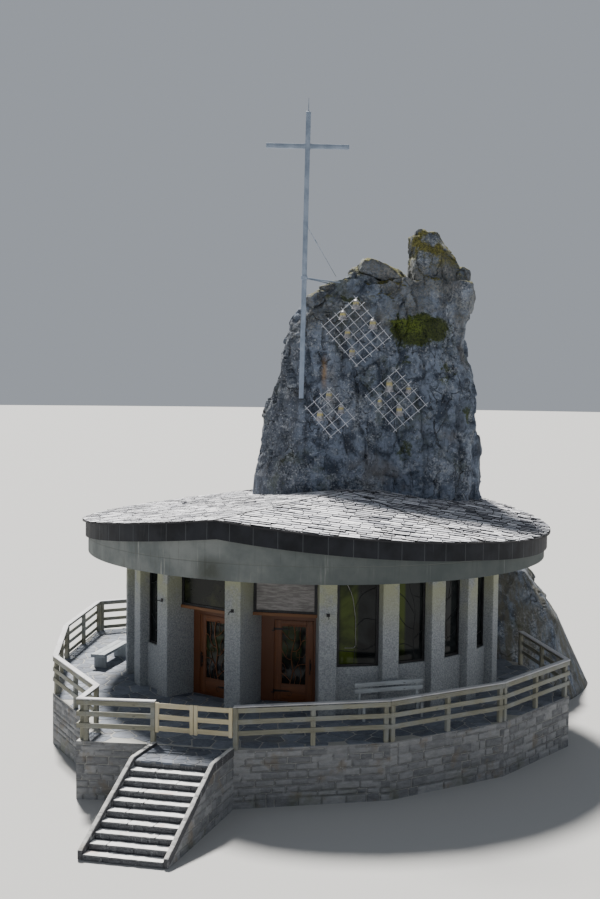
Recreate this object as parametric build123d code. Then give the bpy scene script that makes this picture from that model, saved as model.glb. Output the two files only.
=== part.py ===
from build123d import *
from itertools import accumulate
from math import atan2, cos, degrees, hypot, radians, sin, tan
import os

# A small round chapel on a terrace, wrapped round the foot of a tall natural rock that carries its cross
# and its chime bells. Millimetres, +Z up. The origin is the centre of the round plan at the foot of the
# stair; the entrance side faces -Y, +X is to the right of someone who faces the doors. An azimuth is
# counted from -Y towards +X, so that a piece made facing -Y is turned by it about Z.

# Levels
RISER = 140.0
RISERS = 10
TERRACE_H = RISER * RISERS
SOFFIT_H = 3610.0                 # underside of the ring beam above the terrace
SILL_H = 1240.0                   # top of the low walls under the windows
DOOR_HEAD_H = 2420.0              # underside of the lintel boards

# Roof
BEAM_R = 6750.0                   # outer face of the concrete ring beam
BEAM_T = 300.0
SLAB_T = 200.0
FASCIA_T = 80.0
FASCIA_H = 450.0
SLATE_T = 40.0
SLATE_OVERHANG = 90.0             # slates past the fascia
DECK_T = 60.0
APEX = (913.0, 877.0, 5229.0)     # where the facets meet, above the terrace
FACET_SLOPES = (                  # rise of each facet along X and along Y
    (0.102, -0.0353), (-0.0958, 0.0567), (-0.1307, 0.0384), (0.023, -0.0865),
)

# Piers
EAVES = 1104.0                    # ring beam past the outer faces of the piers
PIER_R = BEAM_R - EAVES
PIER_W = 467.0
PIER_D = 900.0
DOOR_PIER_D = 1500.0
DOOR_PIER_AZ = -22.2              # the pier between the two doors
DOOR_BAYS = {"left": 24.9, "right": 25.7}                # degrees from pier to pier
RIGHT_BAYS = (17.0, 14.9, 14.0, 14.9)
LEFT_BAYS = (15.0, 15.0, 15.0, 15.0, 15.0, 15.0)
HOOK_H = 2640.0
HOOK_REACH = 210.0
HOOK_DROP = 70.0
HOOK_R = 9.0
HOOK_PLATE = 90.0
HOOK_PLATE_T = 10.0

# Windows and walls between the piers
SILL_SETBACK = 250.0
SILL_T = 260.0
WINDOW_SETBACK = 300.0
FRAME_T = 80.0
FRAME_W = 60.0
GLASS_T = 16.0
LINTEL_T = 80.0
LINTEL_PROUD = 30.0               # in front of the transom frames
RUBBLE_R = PIER_R - 226.0
RUBBLE_T = 450.0

# Doors: the side of the hinges along the bay, the setbacks of transom and leaf, the left and right jambs
DOORS = {
    "left": (1, 560.0, 970.0, 199.0, 259.0),
    "right": (-1, 850.0, 1360.0, 323.0, 23.0),
}
DOOR_FRAME_T = 120.0
DOOR_FRAME_HEAD = 200.0
THRESHOLD_H = 50.0
LEAF_T = 60.0
LEAF_GAP = 8.0
STILE_W = 190.0                   # timber left round the glass of a leaf
FOOT_RAIL_W = 420.0
HEAD_RAIL_W = 150.0
PINTLE_R = 9.0
PIN_CLEARANCE = 1.0
EYE_T = 7.0                       # wall of the eye round the pintle
PINTLE_FOOT = 22.0                # height of the round foot under an eye
PINTLE_REACH = 62.0               # from the pin to the far side of its angle on the frame
STRAP_L = 560.0
STRAP_W = 60.0
STRAP_T = 8.0
STRAP_INSET = 240.0               # strap centre from the leaf's top and foot
PULL_L = 420.0
PULL_R = 13.0
PULL_STANDOFF = 60.0
PULL_INSET = 80.0
PULL_H = 980.0

# Carved branches in front of a door's glass, in shares of the glazed field from its hinge side and foot
TRACERY_T = 22.0
TRACERY = (
    (46.0, ((0.34, 0.0), (0.46, 0.22), (0.4, 0.5), (0.54, 0.78), (0.5, 1.0))),
    (34.0, ((0.0, 0.2), (0.2, 0.13), (0.36, 0.06))),
    (34.0, ((0.45, 0.2), (0.66, 0.33), (1.0, 0.36))),
    (34.0, ((0.41, 0.42), (0.2, 0.46), (0.0, 0.6))),
    (34.0, ((0.43, 0.56), (0.68, 0.6), (0.82, 0.74), (1.0, 0.78))),
    (30.0, ((0.52, 0.74), (0.26, 0.8), (0.0, 0.92))),
    (26.0, ((0.78, 0.69), (0.74, 0.86), (0.8, 1.0))),
    (26.0, ((0.7, 0.34), (0.8, 0.18), (0.74, 0.0))),
)

# Corners of the terrace edge, from the rock's back round the left and the front to its right side
EDGE = {
    "rear": (-2300.0, 7300.0),
    "rear_left": (-7430.0, 4520.0),
    "left": (-7700.0, 430.0),
    "left_front": (-7140.0, -3650.0),
    "pocket": (-5440.0, -6720.0),
    "front_left": (-5630.0, -7970.0),
    "gate_left": (-3740.0, -8130.0),
    "gate_right": (-1870.0, -8510.0),
    "front": (1850.0, -7720.0),
    "front_right": (4860.0, -5820.0),
    "right": (7050.0, -3180.0),
    "rock_right": (6360.0, 700.0),
}

# Fence: the corners of its panels
FENCE = {
    "fence_rear": ("rear", "rear_left"),
    "fence_left": ("rear_left", "left", "left_front"),
    "fence_front_left": ("left_front", "pocket", "front_left", "gate_left"),
    "fence_front": ("gate_right", "front", "front_right", "right"),
    "fence_right": ("right", "rock_right"),
}
RAILS = 3
HIGH_RAILS = 4                    # on the panels that start at these corners
HIGH_PANELS = ("rear", "rear_left")
POST = 110.0
POST_H = 1000.0
POST_PITCH = 1800.0
POST_GAP = 20.0                   # between the end posts of two panels at a corner, from their mitre line
RAIL_H = 115.0
RAIL_T = 30.0
RAIL_TOP = 930.0                  # centre of the highest rail
RAIL_STEP = 275.0
CAP_W = 150.0
CAP_T = 30.0
CAP_PROUD = 8.0                   # the cap board past the outer faces of the rails
MITRE_GAP = 2.0

# Gate
GATE_GAP = 12.0
GATE_FRAME_W = 90.0
GATE_UPRIGHT_PROUD = 12.0         # the uprights in front of the boards
GATE_STRAP_L = 300.0
GATE_FOOT_H = 290.0
GATE_TOP_H = 1000.0

# Stair
TREAD = 270.0
LANDING = 1200.0                  # from the gate to the first nose
STAIR_W = 1990.0
STAIR_SKEW = 6.0                  # degrees between the flight and the square to the gate
KERB_W = 110.0
KERB_RISE = 80.0
NOSE = 25.0
TREAD_T = 50.0

# Benches
BENCH_SEAT_H = 480.0
BENCH_L = 1900.0
BENCH_D = 430.0
BENCH_BACK_H = 930.0
BENCH_BOARD = 32.0
BENCH_SLAT_GAP = 12.0
BENCH_SLATS = 3
BENCH_BACK_W = 110.0
BENCH_BACK_STEP = 160.0
BENCH_LEG_W = 70.0
BENCH_LEG_INSET = 150.0
BENCH_GAP = 70.0                  # behind the bench to the pier faces
PLANK_BENCH_L = 2000.0
PLANK_BENCH_T = 90.0
PLANK_BENCH_H = 450.0
PLANK_BENCH_R = PIER_R + 544.0    # its middle, from the centre of the plan
PLANK_BENCH_AZ = -90.0
PLANK_BENCH_FACING = -103.0
PLANK_LEG_INSET = 250.0

# Rock: left, right, front and back at heights above the terrace, then the two summits above them
ROCK_LEVELS = (
    (-1400.0, -2800.0, 9000.0, 700.0, 7900.0),
    (900.0, -2650.0, 8050.0, 1300.0, 7500.0),
    (2500.0, -2400.0, 7050.0, 1700.0, 7000.0),
    (4400.0, -2150.0, 5500.0, 1850.0, 6500.0),
    (6000.0, -1850.0, 5330.0, 1900.0, 6100.0),
    (7600.0, -1670.0, 5230.0, 2000.0, 5800.0),
    (8900.0, -1260.0, 5000.0, 2100.0, 5500.0),
    (9800.0, -1100.0, 4720.0, 2200.0, 5300.0),
    (10700.0, -770.0, 5060.0, 2350.0, 5100.0),
    (11800.0, 60.0, 5040.0, 2600.0, 4800.0),
)
SHOULDER_LEVELS = (
    (11600.0, 300.0, 2900.0, 2700.0, 4600.0),
    (12150.0, 850.0, 2820.0, 2850.0, 4300.0),
    (12600.0, 1400.0, 2200.0, 3050.0, 3900.0),
)
PINNACLE_LEVELS = (
    (11600.0, 2880.0, 5000.0, 2600.0, 4800.0),
    (12550.0, 2930.0, 4420.0, 2800.0, 4500.0),
    (13420.0, 3080.0, 3820.0, 3100.0, 4100.0),
)
ROCK_PLAN = (
    (-1.0, -0.3), (-0.74, -0.9), (-0.32, -1.0), (0.12, -0.88), (0.52, -1.0), (0.88, -0.72),
    (1.0, -0.1), (0.9, 0.6), (0.5, 0.95), (0.0, 0.88), (-0.5, 1.0), (-0.92, 0.5),
)
ROCK_ROUGHNESS = 0.03             # how far a corner moves in and out, of half the rock's width

# Roof and walls stop behind the rock at these lines
BEHIND_X = -1900.0
BEHIND_Y = 4000.0

# Cross
MAST_W = 150.0
MAST_X = -510.0
MAST_Y = 1500.0
MAST_FOOT_H = 8050.0
MAST_TOP_H = 16870.0
MAST_LEAN = 0.8                   # degrees to the right
ARM_DROP = 1060.0                 # from the mast's top to the middle of the arm
ARM_L = 2560.0
ARM_W = 140.0
ROD_L = 430.0
ROD_R = 12.0
COLLAR_RISE = 3740.0              # from the mast's foot
COLLAR_T = 25.0
COLLAR_L = 120.0
STRUT_R = 22.0
STRUT_ENDS = ((560.0, 3300.0), (1500.0, 3500.0))
STRUT_DROP = 60.0
STAY_RISE = 5400.0
STAY_R = 8.0
STAY_END = (500.0, 3300.0, 3950.0)      # X, Y and height above the mast's foot
SHOE_L = 420.0
SHOE_PLATE = 40.0

# Bell lattices: left corner (X, height), Y, length up to the right and length down to the right
LEFT_LATTICE_DROP = 300.0         # its corner under the mast's foot
LATTICE_ANGLE = 41.0
LATTICE_LEAN = 6.0
LATTICE_BAR = 26.0
LATTICES = {
    "bell_lattice_top": ((150.0, 10330.0), 1930.0, 1350.0, 1620.0),
    "bell_lattice_right": ((1530.0, 8150.0), 1700.0, 1240.0, 1400.0),
    "bell_lattice_left": ((-330.0, MAST_FOOT_H - LEFT_LATTICE_DROP), 1640.0, 910.0, 1160.0),
}
LATTICE_BARS = {                  # counts across and along
    "bell_lattice_top": (6, 7),
    "bell_lattice_right": (5, 6),
    "bell_lattice_left": (4, 5),
}
LATTICE_FOOT_R = 14.0
LATTICE_FOOT_L = 1600.0

# Bells: crossing on its lattice (bar up-right, bar down-right), mouth diameter and height
BELLS = {
    "bells_top": (
        "bell_lattice_top",
        (
            (5, 0, 290.0, 300.0), (3, 0, 280.0, 290.0), (5, 3, 300.0, 310.0), (2, 2, 260.0, 270.0),
            (1, 4, 250.0, 260.0),
        ),
    ),
    "bells_right": (
        "bell_lattice_right",
        ((3, 0, 300.0, 420.0), (1, 1, 210.0, 230.0), (4, 2, 210.0, 230.0), (2, 3, 260.0, 320.0)),
    ),
    "bells_left": (
        "bell_lattice_left",
        ((3, 0, 270.0, 290.0), (1, 1, 290.0, 310.0), (3, 2, 250.0, 260.0)),
    ),
}
BELL_PROFILE = (
    (1.0, 0.0), (0.86, 0.14), (0.72, 0.36), (0.62, 0.66), (0.54, 0.86), (0.34, 0.96), (0.0, 1.0),
)
BELL_WALL = 14.0
BELL_REACH = 0.8                  # of its diameter, in front of the lattice
BELL_ARM = 24.0
BELL_NECK_R = 9.0
BELL_NECK_L = 40.0

FAR = 12000.0                     # past everything on the plan
SPARE = 20.0                      # a cutting body reaches this much past what it cuts


def box(x0, x1, y0, y1, z0, z1):
    """A block between two corners."""
    return Pos((x0 + x1) / 2, (y0 + y1) / 2, (z0 + z1) / 2) * Box(x1 - x0, y1 - y0, z1 - z0)


def ring(outer, inner, z0, z1):
    """An upright ring round the centre of the plan."""
    return disc(outer, z0, z1) - disc(inner, z0, z1)


def disc(radius, z0, z1):
    return Pos(0, 0, (z0 + z1) / 2) * Cylinder(radius, z1 - z0)


def turned(shape, azimuth):
    """A piece made facing -Y, turned to its azimuth."""
    return Rot(0, 0, azimuth) * shape


def bar(start, end, radius):
    """A round bar from point to point."""
    start, end = Vector(*start), Vector(*end)
    middle = Plane(origin=start, z_dir=end - start)
    return middle * Pos(0, 0, (end - start).length / 2) * Cylinder(radius, (end - start).length)


def slab(points, z0, z1):
    """A level slab with this outline."""
    return Pos(0, 0, z0) * extrude(make_face(Polyline(*points, close=True)), z1 - z0, dir=(0, 0, 1))


def fuse(shapes):
    shapes = list(shapes)
    return shapes[0].fuse(*shapes[1:]) if len(shapes) > 1 else shapes[0]


def largest(shape):
    return max(shape.solids(), key=lambda solid: solid.volume)


def nearest_front(shape):
    """Of the pieces of a bracket that the rock leaves, the one in front of it."""
    return min(shape.solids(), key=lambda solid: solid.center().Y)


def span(start, end):
    return (min(start, end), max(start, end))


def save(name, shapes):
    """One file for a piece, or for several like solids that share a name."""
    solids = [solid for shape in shapes for solid in shape.solids()]
    os.makedirs("parts", exist_ok=True)
    export_step(Compound(children=solids) if len(solids) > 1 else solids[0], f"parts/{name}.step")


# Rock

def rock_section(height, left, right, front, back, level):
    """The plan of the rock at one height: the named outline, each corner moved in or out a little."""
    middle_x, middle_y = (left + right) / 2, (front + back) / 2
    points = []
    for corner, (u, v) in enumerate(ROCK_PLAN):
        swell = 1 + ROCK_ROUGHNESS * sin(2.3 * corner + 1.7 * level)
        x = middle_x + swell * u * (right - left) / 2
        y = middle_y + swell * v * (back - front) / 2
        points.append(Vector(x, y, TERRACE_H + height))
    return points


def flat_face(*points):
    return Face(Wire.make_polygon(points, close=True))


def rock_mass(levels, first):
    """A closed body of flat facets, two to each side of each pair of plans, with the plans as its ends."""
    plans = [rock_section(*row, first + number) for number, row in enumerate(levels)]
    corners = len(ROCK_PLAN)
    faces = [flat_face(*plans[0]), flat_face(*plans[-1])]
    for lower, upper in zip(plans, plans[1:]):
        for here in range(corners):
            there = (here + 1) % corners
            faces.append(flat_face(lower[here], lower[there], upper[there]))
            faces.append(flat_face(lower[here], upper[there], upper[here]))
    return Solid(Shell(faces))


def make_rock():
    return largest(
        fuse([rock_mass(ROCK_LEVELS, 0), rock_mass(SHOULDER_LEVELS, 3), rock_mass(PINNACLE_LEVELS, 5)])
    )


rock = make_rock()
behind = box(BEHIND_X, FAR, BEHIND_Y, FAR, -SPARE, FAR)


def against_rock(shape):
    """What is left of a ring, disc or wall in front of the rock."""
    return largest(shape - rock - behind)


# Roof

SOFFIT = TERRACE_H + SOFFIT_H
APEX_Z = TERRACE_H + APEX[2]
ROOF_TOP = APEX_Z + BEAM_R * 0.2        # above every facet before it is cut
FASCIA_R = BEAM_R + FASCIA_T
SLATE_R = FASCIA_R + SLATE_OVERHANG


def under_facets(shape, drop):
    """The part of a shape under the facets, lowered by drop."""
    for slope_x, slope_y in FACET_SLOPES:
        facet = Plane(origin=(APEX[0], APEX[1], APEX_Z - drop), z_dir=(-slope_x, -slope_y, 1))
        shape = split(shape, bisect_by=facet, keep=Keep.BOTTOM)
    return shape


def make_roof():
    beam = under_facets(ring(BEAM_R, BEAM_R - BEAM_T, SOFFIT, ROOF_TOP), SLATE_T + DECK_T)
    ceiling = disc(BEAM_R - BEAM_T, SOFFIT, SOFFIT + SLAB_T)
    deck = under_facets(disc(BEAM_R, SOFFIT, ROOF_TOP), SLATE_T)
    deck -= under_facets(disc(BEAM_R + SPARE, SOFFIT - SPARE, ROOF_TOP), SLATE_T + DECK_T)
    fascia = under_facets(ring(FASCIA_R, BEAM_R, SOFFIT, ROOF_TOP), SLATE_T)
    below = ring(FASCIA_R + SPARE, BEAM_R - SPARE, SOFFIT - SPARE, ROOF_TOP)
    fascia -= under_facets(below, SLATE_T + FASCIA_H)
    slates = under_facets(disc(SLATE_R, SOFFIT, ROOF_TOP), 0)
    slates -= under_facets(disc(SLATE_R + SPARE, SOFFIT - SPARE, ROOF_TOP), SLATE_T)
    save("ring_beam", [against_rock(beam)])
    save("ceiling_slab", [against_rock(ceiling)])
    save("roof_deck", [against_rock(deck)])
    save("fascia_band", [against_rock(fascia)])
    save("slate_roof", [against_rock(slates)])


# Piers

RIGHT_AZ = [DOOR_PIER_AZ + DOOR_BAYS["right"] + turn for turn in accumulate(RIGHT_BAYS, initial=0)]
LEFT_AZ = [DOOR_PIER_AZ - DOOR_BAYS["left"] - turn for turn in accumulate(LEFT_BAYS, initial=0)]
DOOR_AZ = {
    "left": DOOR_PIER_AZ - DOOR_BAYS["left"] / 2,
    "right": DOOR_PIER_AZ + DOOR_BAYS["right"] / 2,
}
WINDOWS = [((here + there) / 2, there - here) for here, there in zip(RIGHT_AZ, RIGHT_AZ[1:])]
WINDOWS += [((here + there) / 2, here - there) for here, there in zip(LEFT_AZ, LEFT_AZ[1:])]
HOOK_AZ = (LEFT_AZ[0], DOOR_PIER_AZ, RIGHT_AZ[0])


def pier(azimuth):
    depth = DOOR_PIER_D if azimuth in HOOK_AZ else PIER_D
    shaft = box(-PIER_W / 2, PIER_W / 2, -PIER_R, -PIER_R + depth, TERRACE_H, SOFFIT)
    return largest(turned(shaft, azimuth) - rock)


piers = {
    "piers_left": [pier(azimuth) for azimuth in LEFT_AZ[3:]],
    "piers_front": [pier(azimuth) for azimuth in LEFT_AZ[2::-1] + [DOOR_PIER_AZ] + RIGHT_AZ[:1]],
    "piers_right": [pier(azimuth) for azimuth in RIGHT_AZ[1:]],
}
all_piers = [piece for group in piers.values() for piece in group]


def clear_half_width(radius, bay):
    """Half the space between two piers, on a plane at this distance from the centre of the plan."""
    half = radians(bay / 2)
    return (radius * sin(half) - PIER_W / 2) / cos(half)


def between_piers(shape, azimuth):
    """A piece of one bay, trimmed to the faces of its piers."""
    shape = turned(shape, azimuth)
    for piece in all_piers:
        shape -= piece
    return largest(shape)


def hook():
    """A round hook on a small plate, facing -Y from the middle of a pier's face."""
    height = TERRACE_H + HOOK_H
    face = -PIER_R - HOOK_PLATE_T
    path = FilletPolyline(
        (0, face, height), (0, face - HOOK_REACH, height), (0, face - HOOK_REACH, height - HOOK_DROP),
        radius=HOOK_DROP * 0.7,
    )
    rod = sweep(Plane(origin=path @ 0, z_dir=path % 0) * Circle(HOOK_R), path=path)
    half = HOOK_PLATE / 2
    return fuse([rod, box(-half, half, face, -PIER_R, height - half, height + half)])


# Windows

def bay_panel(setback, thickness, bay, z0, z1):
    half = clear_half_width(PIER_R - setback, bay) + SPARE
    return box(-half, half, -PIER_R + setback, -PIER_R + setback + thickness, z0, z1)


def frame_opening(setback, thickness, bay, z0, z1):
    """The hole in a window frame: a margin of one frame member inside the panel."""
    half = clear_half_width(PIER_R - setback - thickness, bay) - FRAME_W
    front = -PIER_R + setback
    return box(-half, half, front - SPARE, front + thickness + SPARE, z0 + FRAME_W, z1 - FRAME_W)


def window(azimuth, setback, bay, z0, z1):
    """A frame between two piers and the pane in it."""
    opening = frame_opening(setback, FRAME_T, bay, z0, z1)
    frame = between_piers(bay_panel(setback, FRAME_T, bay, z0, z1) - opening, azimuth)
    middle = -PIER_R + setback + FRAME_T / 2
    pane = opening & box(-BEAM_R, BEAM_R, middle - GLASS_T / 2, middle + GLASS_T / 2, z0, z1)
    return frame, turned(pane, azimuth)


def make_windows():
    sill = TERRACE_H + SILL_H
    frames, panes = zip(*[window(azimuth, WINDOW_SETBACK, bay, sill, SOFFIT) for azimuth, bay in WINDOWS])
    save("window_frames", frames)
    save("window_glass", panes)
    walls = [
        between_piers(bay_panel(SILL_SETBACK, SILL_T, bay, TERRACE_H, sill), azimuth)
        for azimuth, bay in WINDOWS
    ]
    save("sill_walls", walls)


def make_transoms():
    """The frames over the doors and the boards that close the space from them back to the door frames."""
    head = TERRACE_H + DOOR_HEAD_H + LINTEL_T
    frames, panes, boards = [], [], []
    for side, (_, transom_setback, door_setback, *_) in DOORS.items():
        azimuth, bay = DOOR_AZ[side], DOOR_BAYS[side]
        frame, pane = window(azimuth, transom_setback, bay, head, SOFFIT)
        frames.append(frame)
        panes.append(pane)
        front = transom_setback - LINTEL_PROUD
        board = bay_panel(front, door_setback + DOOR_FRAME_T - front, bay, head - LINTEL_T, head)
        boards.append(between_piers(board, azimuth))
    save("transom_frames", frames)
    save("transom_glass", panes)
    save("lintel_boards", boards)


def make_rubble_walls():
    """The short stone walls that close the ring against the rock, past the last pier on each side."""
    wall = ring(RUBBLE_R, RUBBLE_R - RUBBLE_T, TERRACE_H, SOFFIT) - rock
    for name, azimuth, x0, x1, y0, y1 in (
        ("rubble_wall_right", RIGHT_AZ[-1], 0, BEAM_R, -BEAM_R, BEHIND_Y),
        ("rubble_wall_left", LEFT_AZ[-1], -BEAM_R, BEHIND_X, 0, BEAM_R),
    ):
        half = wall & box(x0, x1, y0, y1, TERRACE_H, SOFFIT)
        before = box(*((-BEAM_R, 0) if azimuth > 0 else (0, BEAM_R)), -BEAM_R, BEAM_R, 0, ROOF_TOP)
        save(name, [largest(half - turned(before, azimuth) - pier(azimuth))])


# Doors, each made facing -Y with the middle of its leaf at x = 0

def leaf_place(side):
    """The width of a leaf between its jambs, and the place of its middle along the bay."""
    _, _, setback, left_jamb, right_jamb = DOORS[side]
    half = clear_half_width(PIER_R - setback - DOOR_FRAME_T, DOOR_BAYS[side])
    return 2 * half - left_jamb - right_jamb - 2 * LEAF_GAP, (left_jamb - right_jamb) / 2


LEAF_W = {side: leaf_place(side)[0] for side in DOORS}
LEAF_MIDDLE = {side: leaf_place(side)[1] for side in DOORS}

LEAF_FOOT = TERRACE_H + THRESHOLD_H + LEAF_GAP
LEAF_HEAD = TERRACE_H + DOOR_HEAD_H - DOOR_FRAME_HEAD - LEAF_GAP
STRAP_HEIGHTS = (LEAF_FOOT + STRAP_INSET, LEAF_HEAD - STRAP_INSET)
EYE_R = PINTLE_R + PIN_CLEARANCE + EYE_T
HINGE_STANDOFF = STRAP_T + EYE_R        # from the face of a leaf to the pin


def door_face(side):
    return -PIER_R + DOORS[side][2]


def hinge_x(side):
    return DOORS[side][0] * (LEAF_W[side] + LEAF_GAP) / 2


def door_frame(side):
    """The fixed frame with its threshold, about the middle of the bay."""
    middle, face = LEAF_MIDDLE[side], door_face(side)
    half = LEAF_W[side] / 2 + LEAF_GAP
    opening = box(
        middle - half, middle + half, face - SPARE, face + DOOR_FRAME_T + SPARE,
        TERRACE_H + THRESHOLD_H, LEAF_HEAD + LEAF_GAP,
    )
    head = TERRACE_H + DOOR_HEAD_H
    return bay_panel(DOORS[side][2], DOOR_FRAME_T, DOOR_BAYS[side], TERRACE_H, head) - opening


def pintle(x, y, height):
    """The pin of a hinge on its round foot, which the strap's eye stands on."""
    foot_top = height - STRAP_W / 2 - PIN_CLEARANCE
    pin = Pos(x, y, height) * Cylinder(PINTLE_R, STRAP_W + 2 * PINTLE_FOOT)
    foot = Pos(x, y, foot_top - PINTLE_FOOT / 2) * Cylinder(EYE_R, PINTLE_FOOT)
    return fuse([pin, foot]), foot_top - PINTLE_FOOT, foot_top


def door_pintle(side, height):
    """A pintle that is carried by an angle on the face of the frame, clear of the leaf."""
    hinge_side, face = DOORS[side][0], door_face(side)
    x = hinge_x(side)
    y = face - HINGE_STANDOFF
    pin, low, high = pintle(x, y, height)
    outer = x + hinge_side * PINTLE_REACH
    arm = box(*span(x, outer), y - PINTLE_R, y + PINTLE_R, low, high)
    web = box(*span(outer, outer - hinge_side * 2 * PINTLE_R), y, face, low, high)
    return fuse([pin, arm, web])


def leaf_light(side, thickness):
    """The glazed field of a leaf, as a block of this thickness about the middle of the leaf."""
    middle = door_face(side) + LEAF_T / 2
    half = LEAF_W[side] / 2 - STILE_W
    return box(
        -half, half, middle - thickness / 2, middle + thickness / 2, LEAF_FOOT + FOOT_RAIL_W,
        LEAF_HEAD - HEAD_RAIL_W,
    )


def door_leaf(side):
    """The timber leaf with the opening for its glass."""
    half, face = LEAF_W[side] / 2, door_face(side)
    leaf = box(-half, half, face, face + LEAF_T, LEAF_FOOT, LEAF_HEAD)
    return leaf - leaf_light(side, LEAF_T + 2 * SPARE)


def tracery(side):
    """Carved branches that fill the glazed field in front of the pane and end in its four sides."""
    hinge_side, face = DOORS[side][0], door_face(side)
    width = LEAF_W[side] - 2 * STILE_W
    foot = LEAF_FOOT + FOOT_RAIL_W
    height = LEAF_HEAD - HEAD_RAIL_W - foot
    front = face + (LEAF_T - GLASS_T) / 2 - TRACERY_T
    wall = Plane(origin=(0, front, foot), x_dir=(1, 0, 0), z_dir=(0, -1, 0))
    branches = []
    for branch_w, points in TRACERY:
        line = Spline(*[(hinge_side * width * (0.5 - x), y * height) for x, y in points])
        start, end = line @ 0 - (line % 0) * branch_w, line @ 1 + (line % 1) * branch_w
        path = Polyline(start, *[line @ (step / 12) for step in range(13)], end)
        branches.append(extrude(wall * trace(path, branch_w), TRACERY_T, dir=(0, 1, 0)))
    field = leaf_light(side, LEAF_T + 2 * TRACERY_T)
    return largest(fuse(branches) & field)


def strap(x, y, face, inwards, height, length):
    """A strap on the face of a leaf, with an eye round the pin at (x, y); inwards is its way along X."""
    low, high = height - STRAP_W / 2, height + STRAP_W / 2
    eye = Pos(x, y, height) * Cylinder(EYE_R, STRAP_W)
    side = 1 if face > y else -1
    plate = box(*span(x, x + inwards * length), *span(face - side * STRAP_T, face), low, high)
    neck = box(*span(x, x + inwards * EYE_R), *span(y, face), low, high)
    pin = Pos(x, y, height) * Cylinder(PINTLE_R + PIN_CLEARANCE, STRAP_W + SPARE)
    return fuse([eye, plate, neck]) - pin


def pull(side):
    """The long upright pull on the free side of a leaf."""
    hinge_side, face = DOORS[side][0], door_face(side)
    x = -hinge_side * (LEAF_W[side] / 2 - PULL_INSET)
    middle = TERRACE_H + PULL_H
    y = face - PULL_STANDOFF
    grip = Pos(x, y, middle) * Cylinder(PULL_R, PULL_L)
    feet = [
        bar((x, y, middle + offset), (x, face, middle + offset), PULL_R * 0.8)
        for offset in (-PULL_L * 0.38, PULL_L * 0.38)
    ]
    return fuse([grip, *feet])


def at_door(side, shape):
    """A piece made about the middle of a leaf, put in its bay."""
    return turned(Pos(LEAF_MIDDLE[side], 0, 0) * shape, DOOR_AZ[side])


def make_doors():
    pintles = []
    for side in DOORS:
        face = door_face(side)
        save(f"door_{side}_frame", [between_piers(door_frame(side), DOOR_AZ[side])])
        save(f"door_{side}_timber", [at_door(side, door_leaf(side))])
        save(f"door_{side}_glass", [at_door(side, leaf_light(side, GLASS_T))])
        save(f"door_{side}_tracery", [at_door(side, tracery(side))])
        ironwork = [
            strap(hinge_x(side), face - HINGE_STANDOFF, face, -DOORS[side][0], height, STRAP_L)
            for height in STRAP_HEIGHTS
        ] + [pull(side)]
        save(f"door_{side}_ironwork", [at_door(side, piece) for piece in ironwork])
        pintles += [at_door(side, door_pintle(side, height)) for height in STRAP_HEIGHTS]
    save("door_pintles", pintles)


# Terrace

def side_of(start, end):
    """The length and the direction in degrees of one side of the terrace edge."""
    (x0, y0), (x1, y1) = EDGE[start], EDGE[end]
    return hypot(x1 - x0, y1 - y0), degrees(atan2(y1 - y0, x1 - x0))


def turn_at(corner):
    """Degrees that the terrace edge turns to the left at a corner, 0 at its ends and at the gate."""
    names = list(EDGE)
    place = names.index(corner)
    if corner in ("gate_left", "gate_right", names[0], names[-1]):
        return 0.0
    before, after = side_of(names[place - 1], corner)[1], side_of(corner, names[place + 1])[1]
    return (after - before + 180) % 360 - 180


platform = largest(slab(EDGE.values(), 0, TERRACE_H) - rock)


# Stair

GATE_WIDTH, GATE_AZ = side_of("gate_left", "gate_right")
GATE_MIDDLE = tuple((a + b) / 2 for a, b in zip(EDGE["gate_left"], EDGE["gate_right"]))


def at_gate(shape):
    """A piece made about the middle of the gate, facing -Y, put in its place."""
    return Pos(*GATE_MIDDLE, 0) * Rot(0, 0, GATE_AZ) * shape


STAIR_L = LANDING + TREAD * (RISERS - 1)
STAIR_DRIFT = STAIR_L * tan(radians(STAIR_SKEW))


def flight_strip(x0, x1):
    """All that lies between two lines that run down the flight, askew to the gate."""
    return slab(((x0, 0), (x0 - STAIR_DRIFT, -STAIR_L), (x1 - STAIR_DRIFT, -STAIR_L), (x1, 0)), 0, ROOF_TOP)


def make_stair():
    half = STAIR_W / 2
    wide = half + STAIR_DRIFT
    inside = flight_strip(-half + KERB_W, half - KERB_W)
    steps = []
    treads = []
    for number in range(1, RISERS):
        top = TERRACE_H - RISER * number
        front = -LANDING - TREAD * number
        steps.append(box(-wide, wide, front, 0, 0, top - TREAD_T))
        tread = box(-wide, wide, front - NOSE, front + TREAD - NOSE, top - TREAD_T, top)
        treads.append(at_gate(largest(tread & inside)))
    steps.append(box(-wide, wide, -LANDING, 0, 0, TERRACE_H - TREAD_T))
    landing = box(-wide, wide, -LANDING - NOSE, 0, TERRACE_H - TREAD_T, TERRACE_H)
    save("stair_risers", [at_gate(largest(fuse(steps) & inside))])
    save("stair_treads", treads)
    save("stair_landing", [at_gate(largest(landing & inside))])
    top = TERRACE_H + KERB_RISE
    outline = [(0, 0), (0, top), (-LANDING, top), (-STAIR_L, KERB_RISE + RISER), (-STAIR_L, 0)]
    profile = make_face(Polyline(*outline, close=True))
    across = Plane(origin=(-wide, 0, 0), x_dir=(0, 1, 0), z_dir=(1, 0, 0)) * extrude(profile, 2 * wide)
    edges = ((-half, -half + KERB_W), (half - KERB_W, half))
    kerbs = [at_gate(largest(across & flight_strip(*edge))) for edge in edges]
    save("stair_kerbs", [largest(kerb - platform) for kerb in kerbs])


# Fence, each panel made with its outer face along +X from its first corner and the terrace at +Y

gateway = at_gate(box(-GATE_WIDTH / 2, GATE_WIDTH / 2, -GATE_WIDTH, GATE_WIDTH, TERRACE_H, ROOF_TOP))


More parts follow.
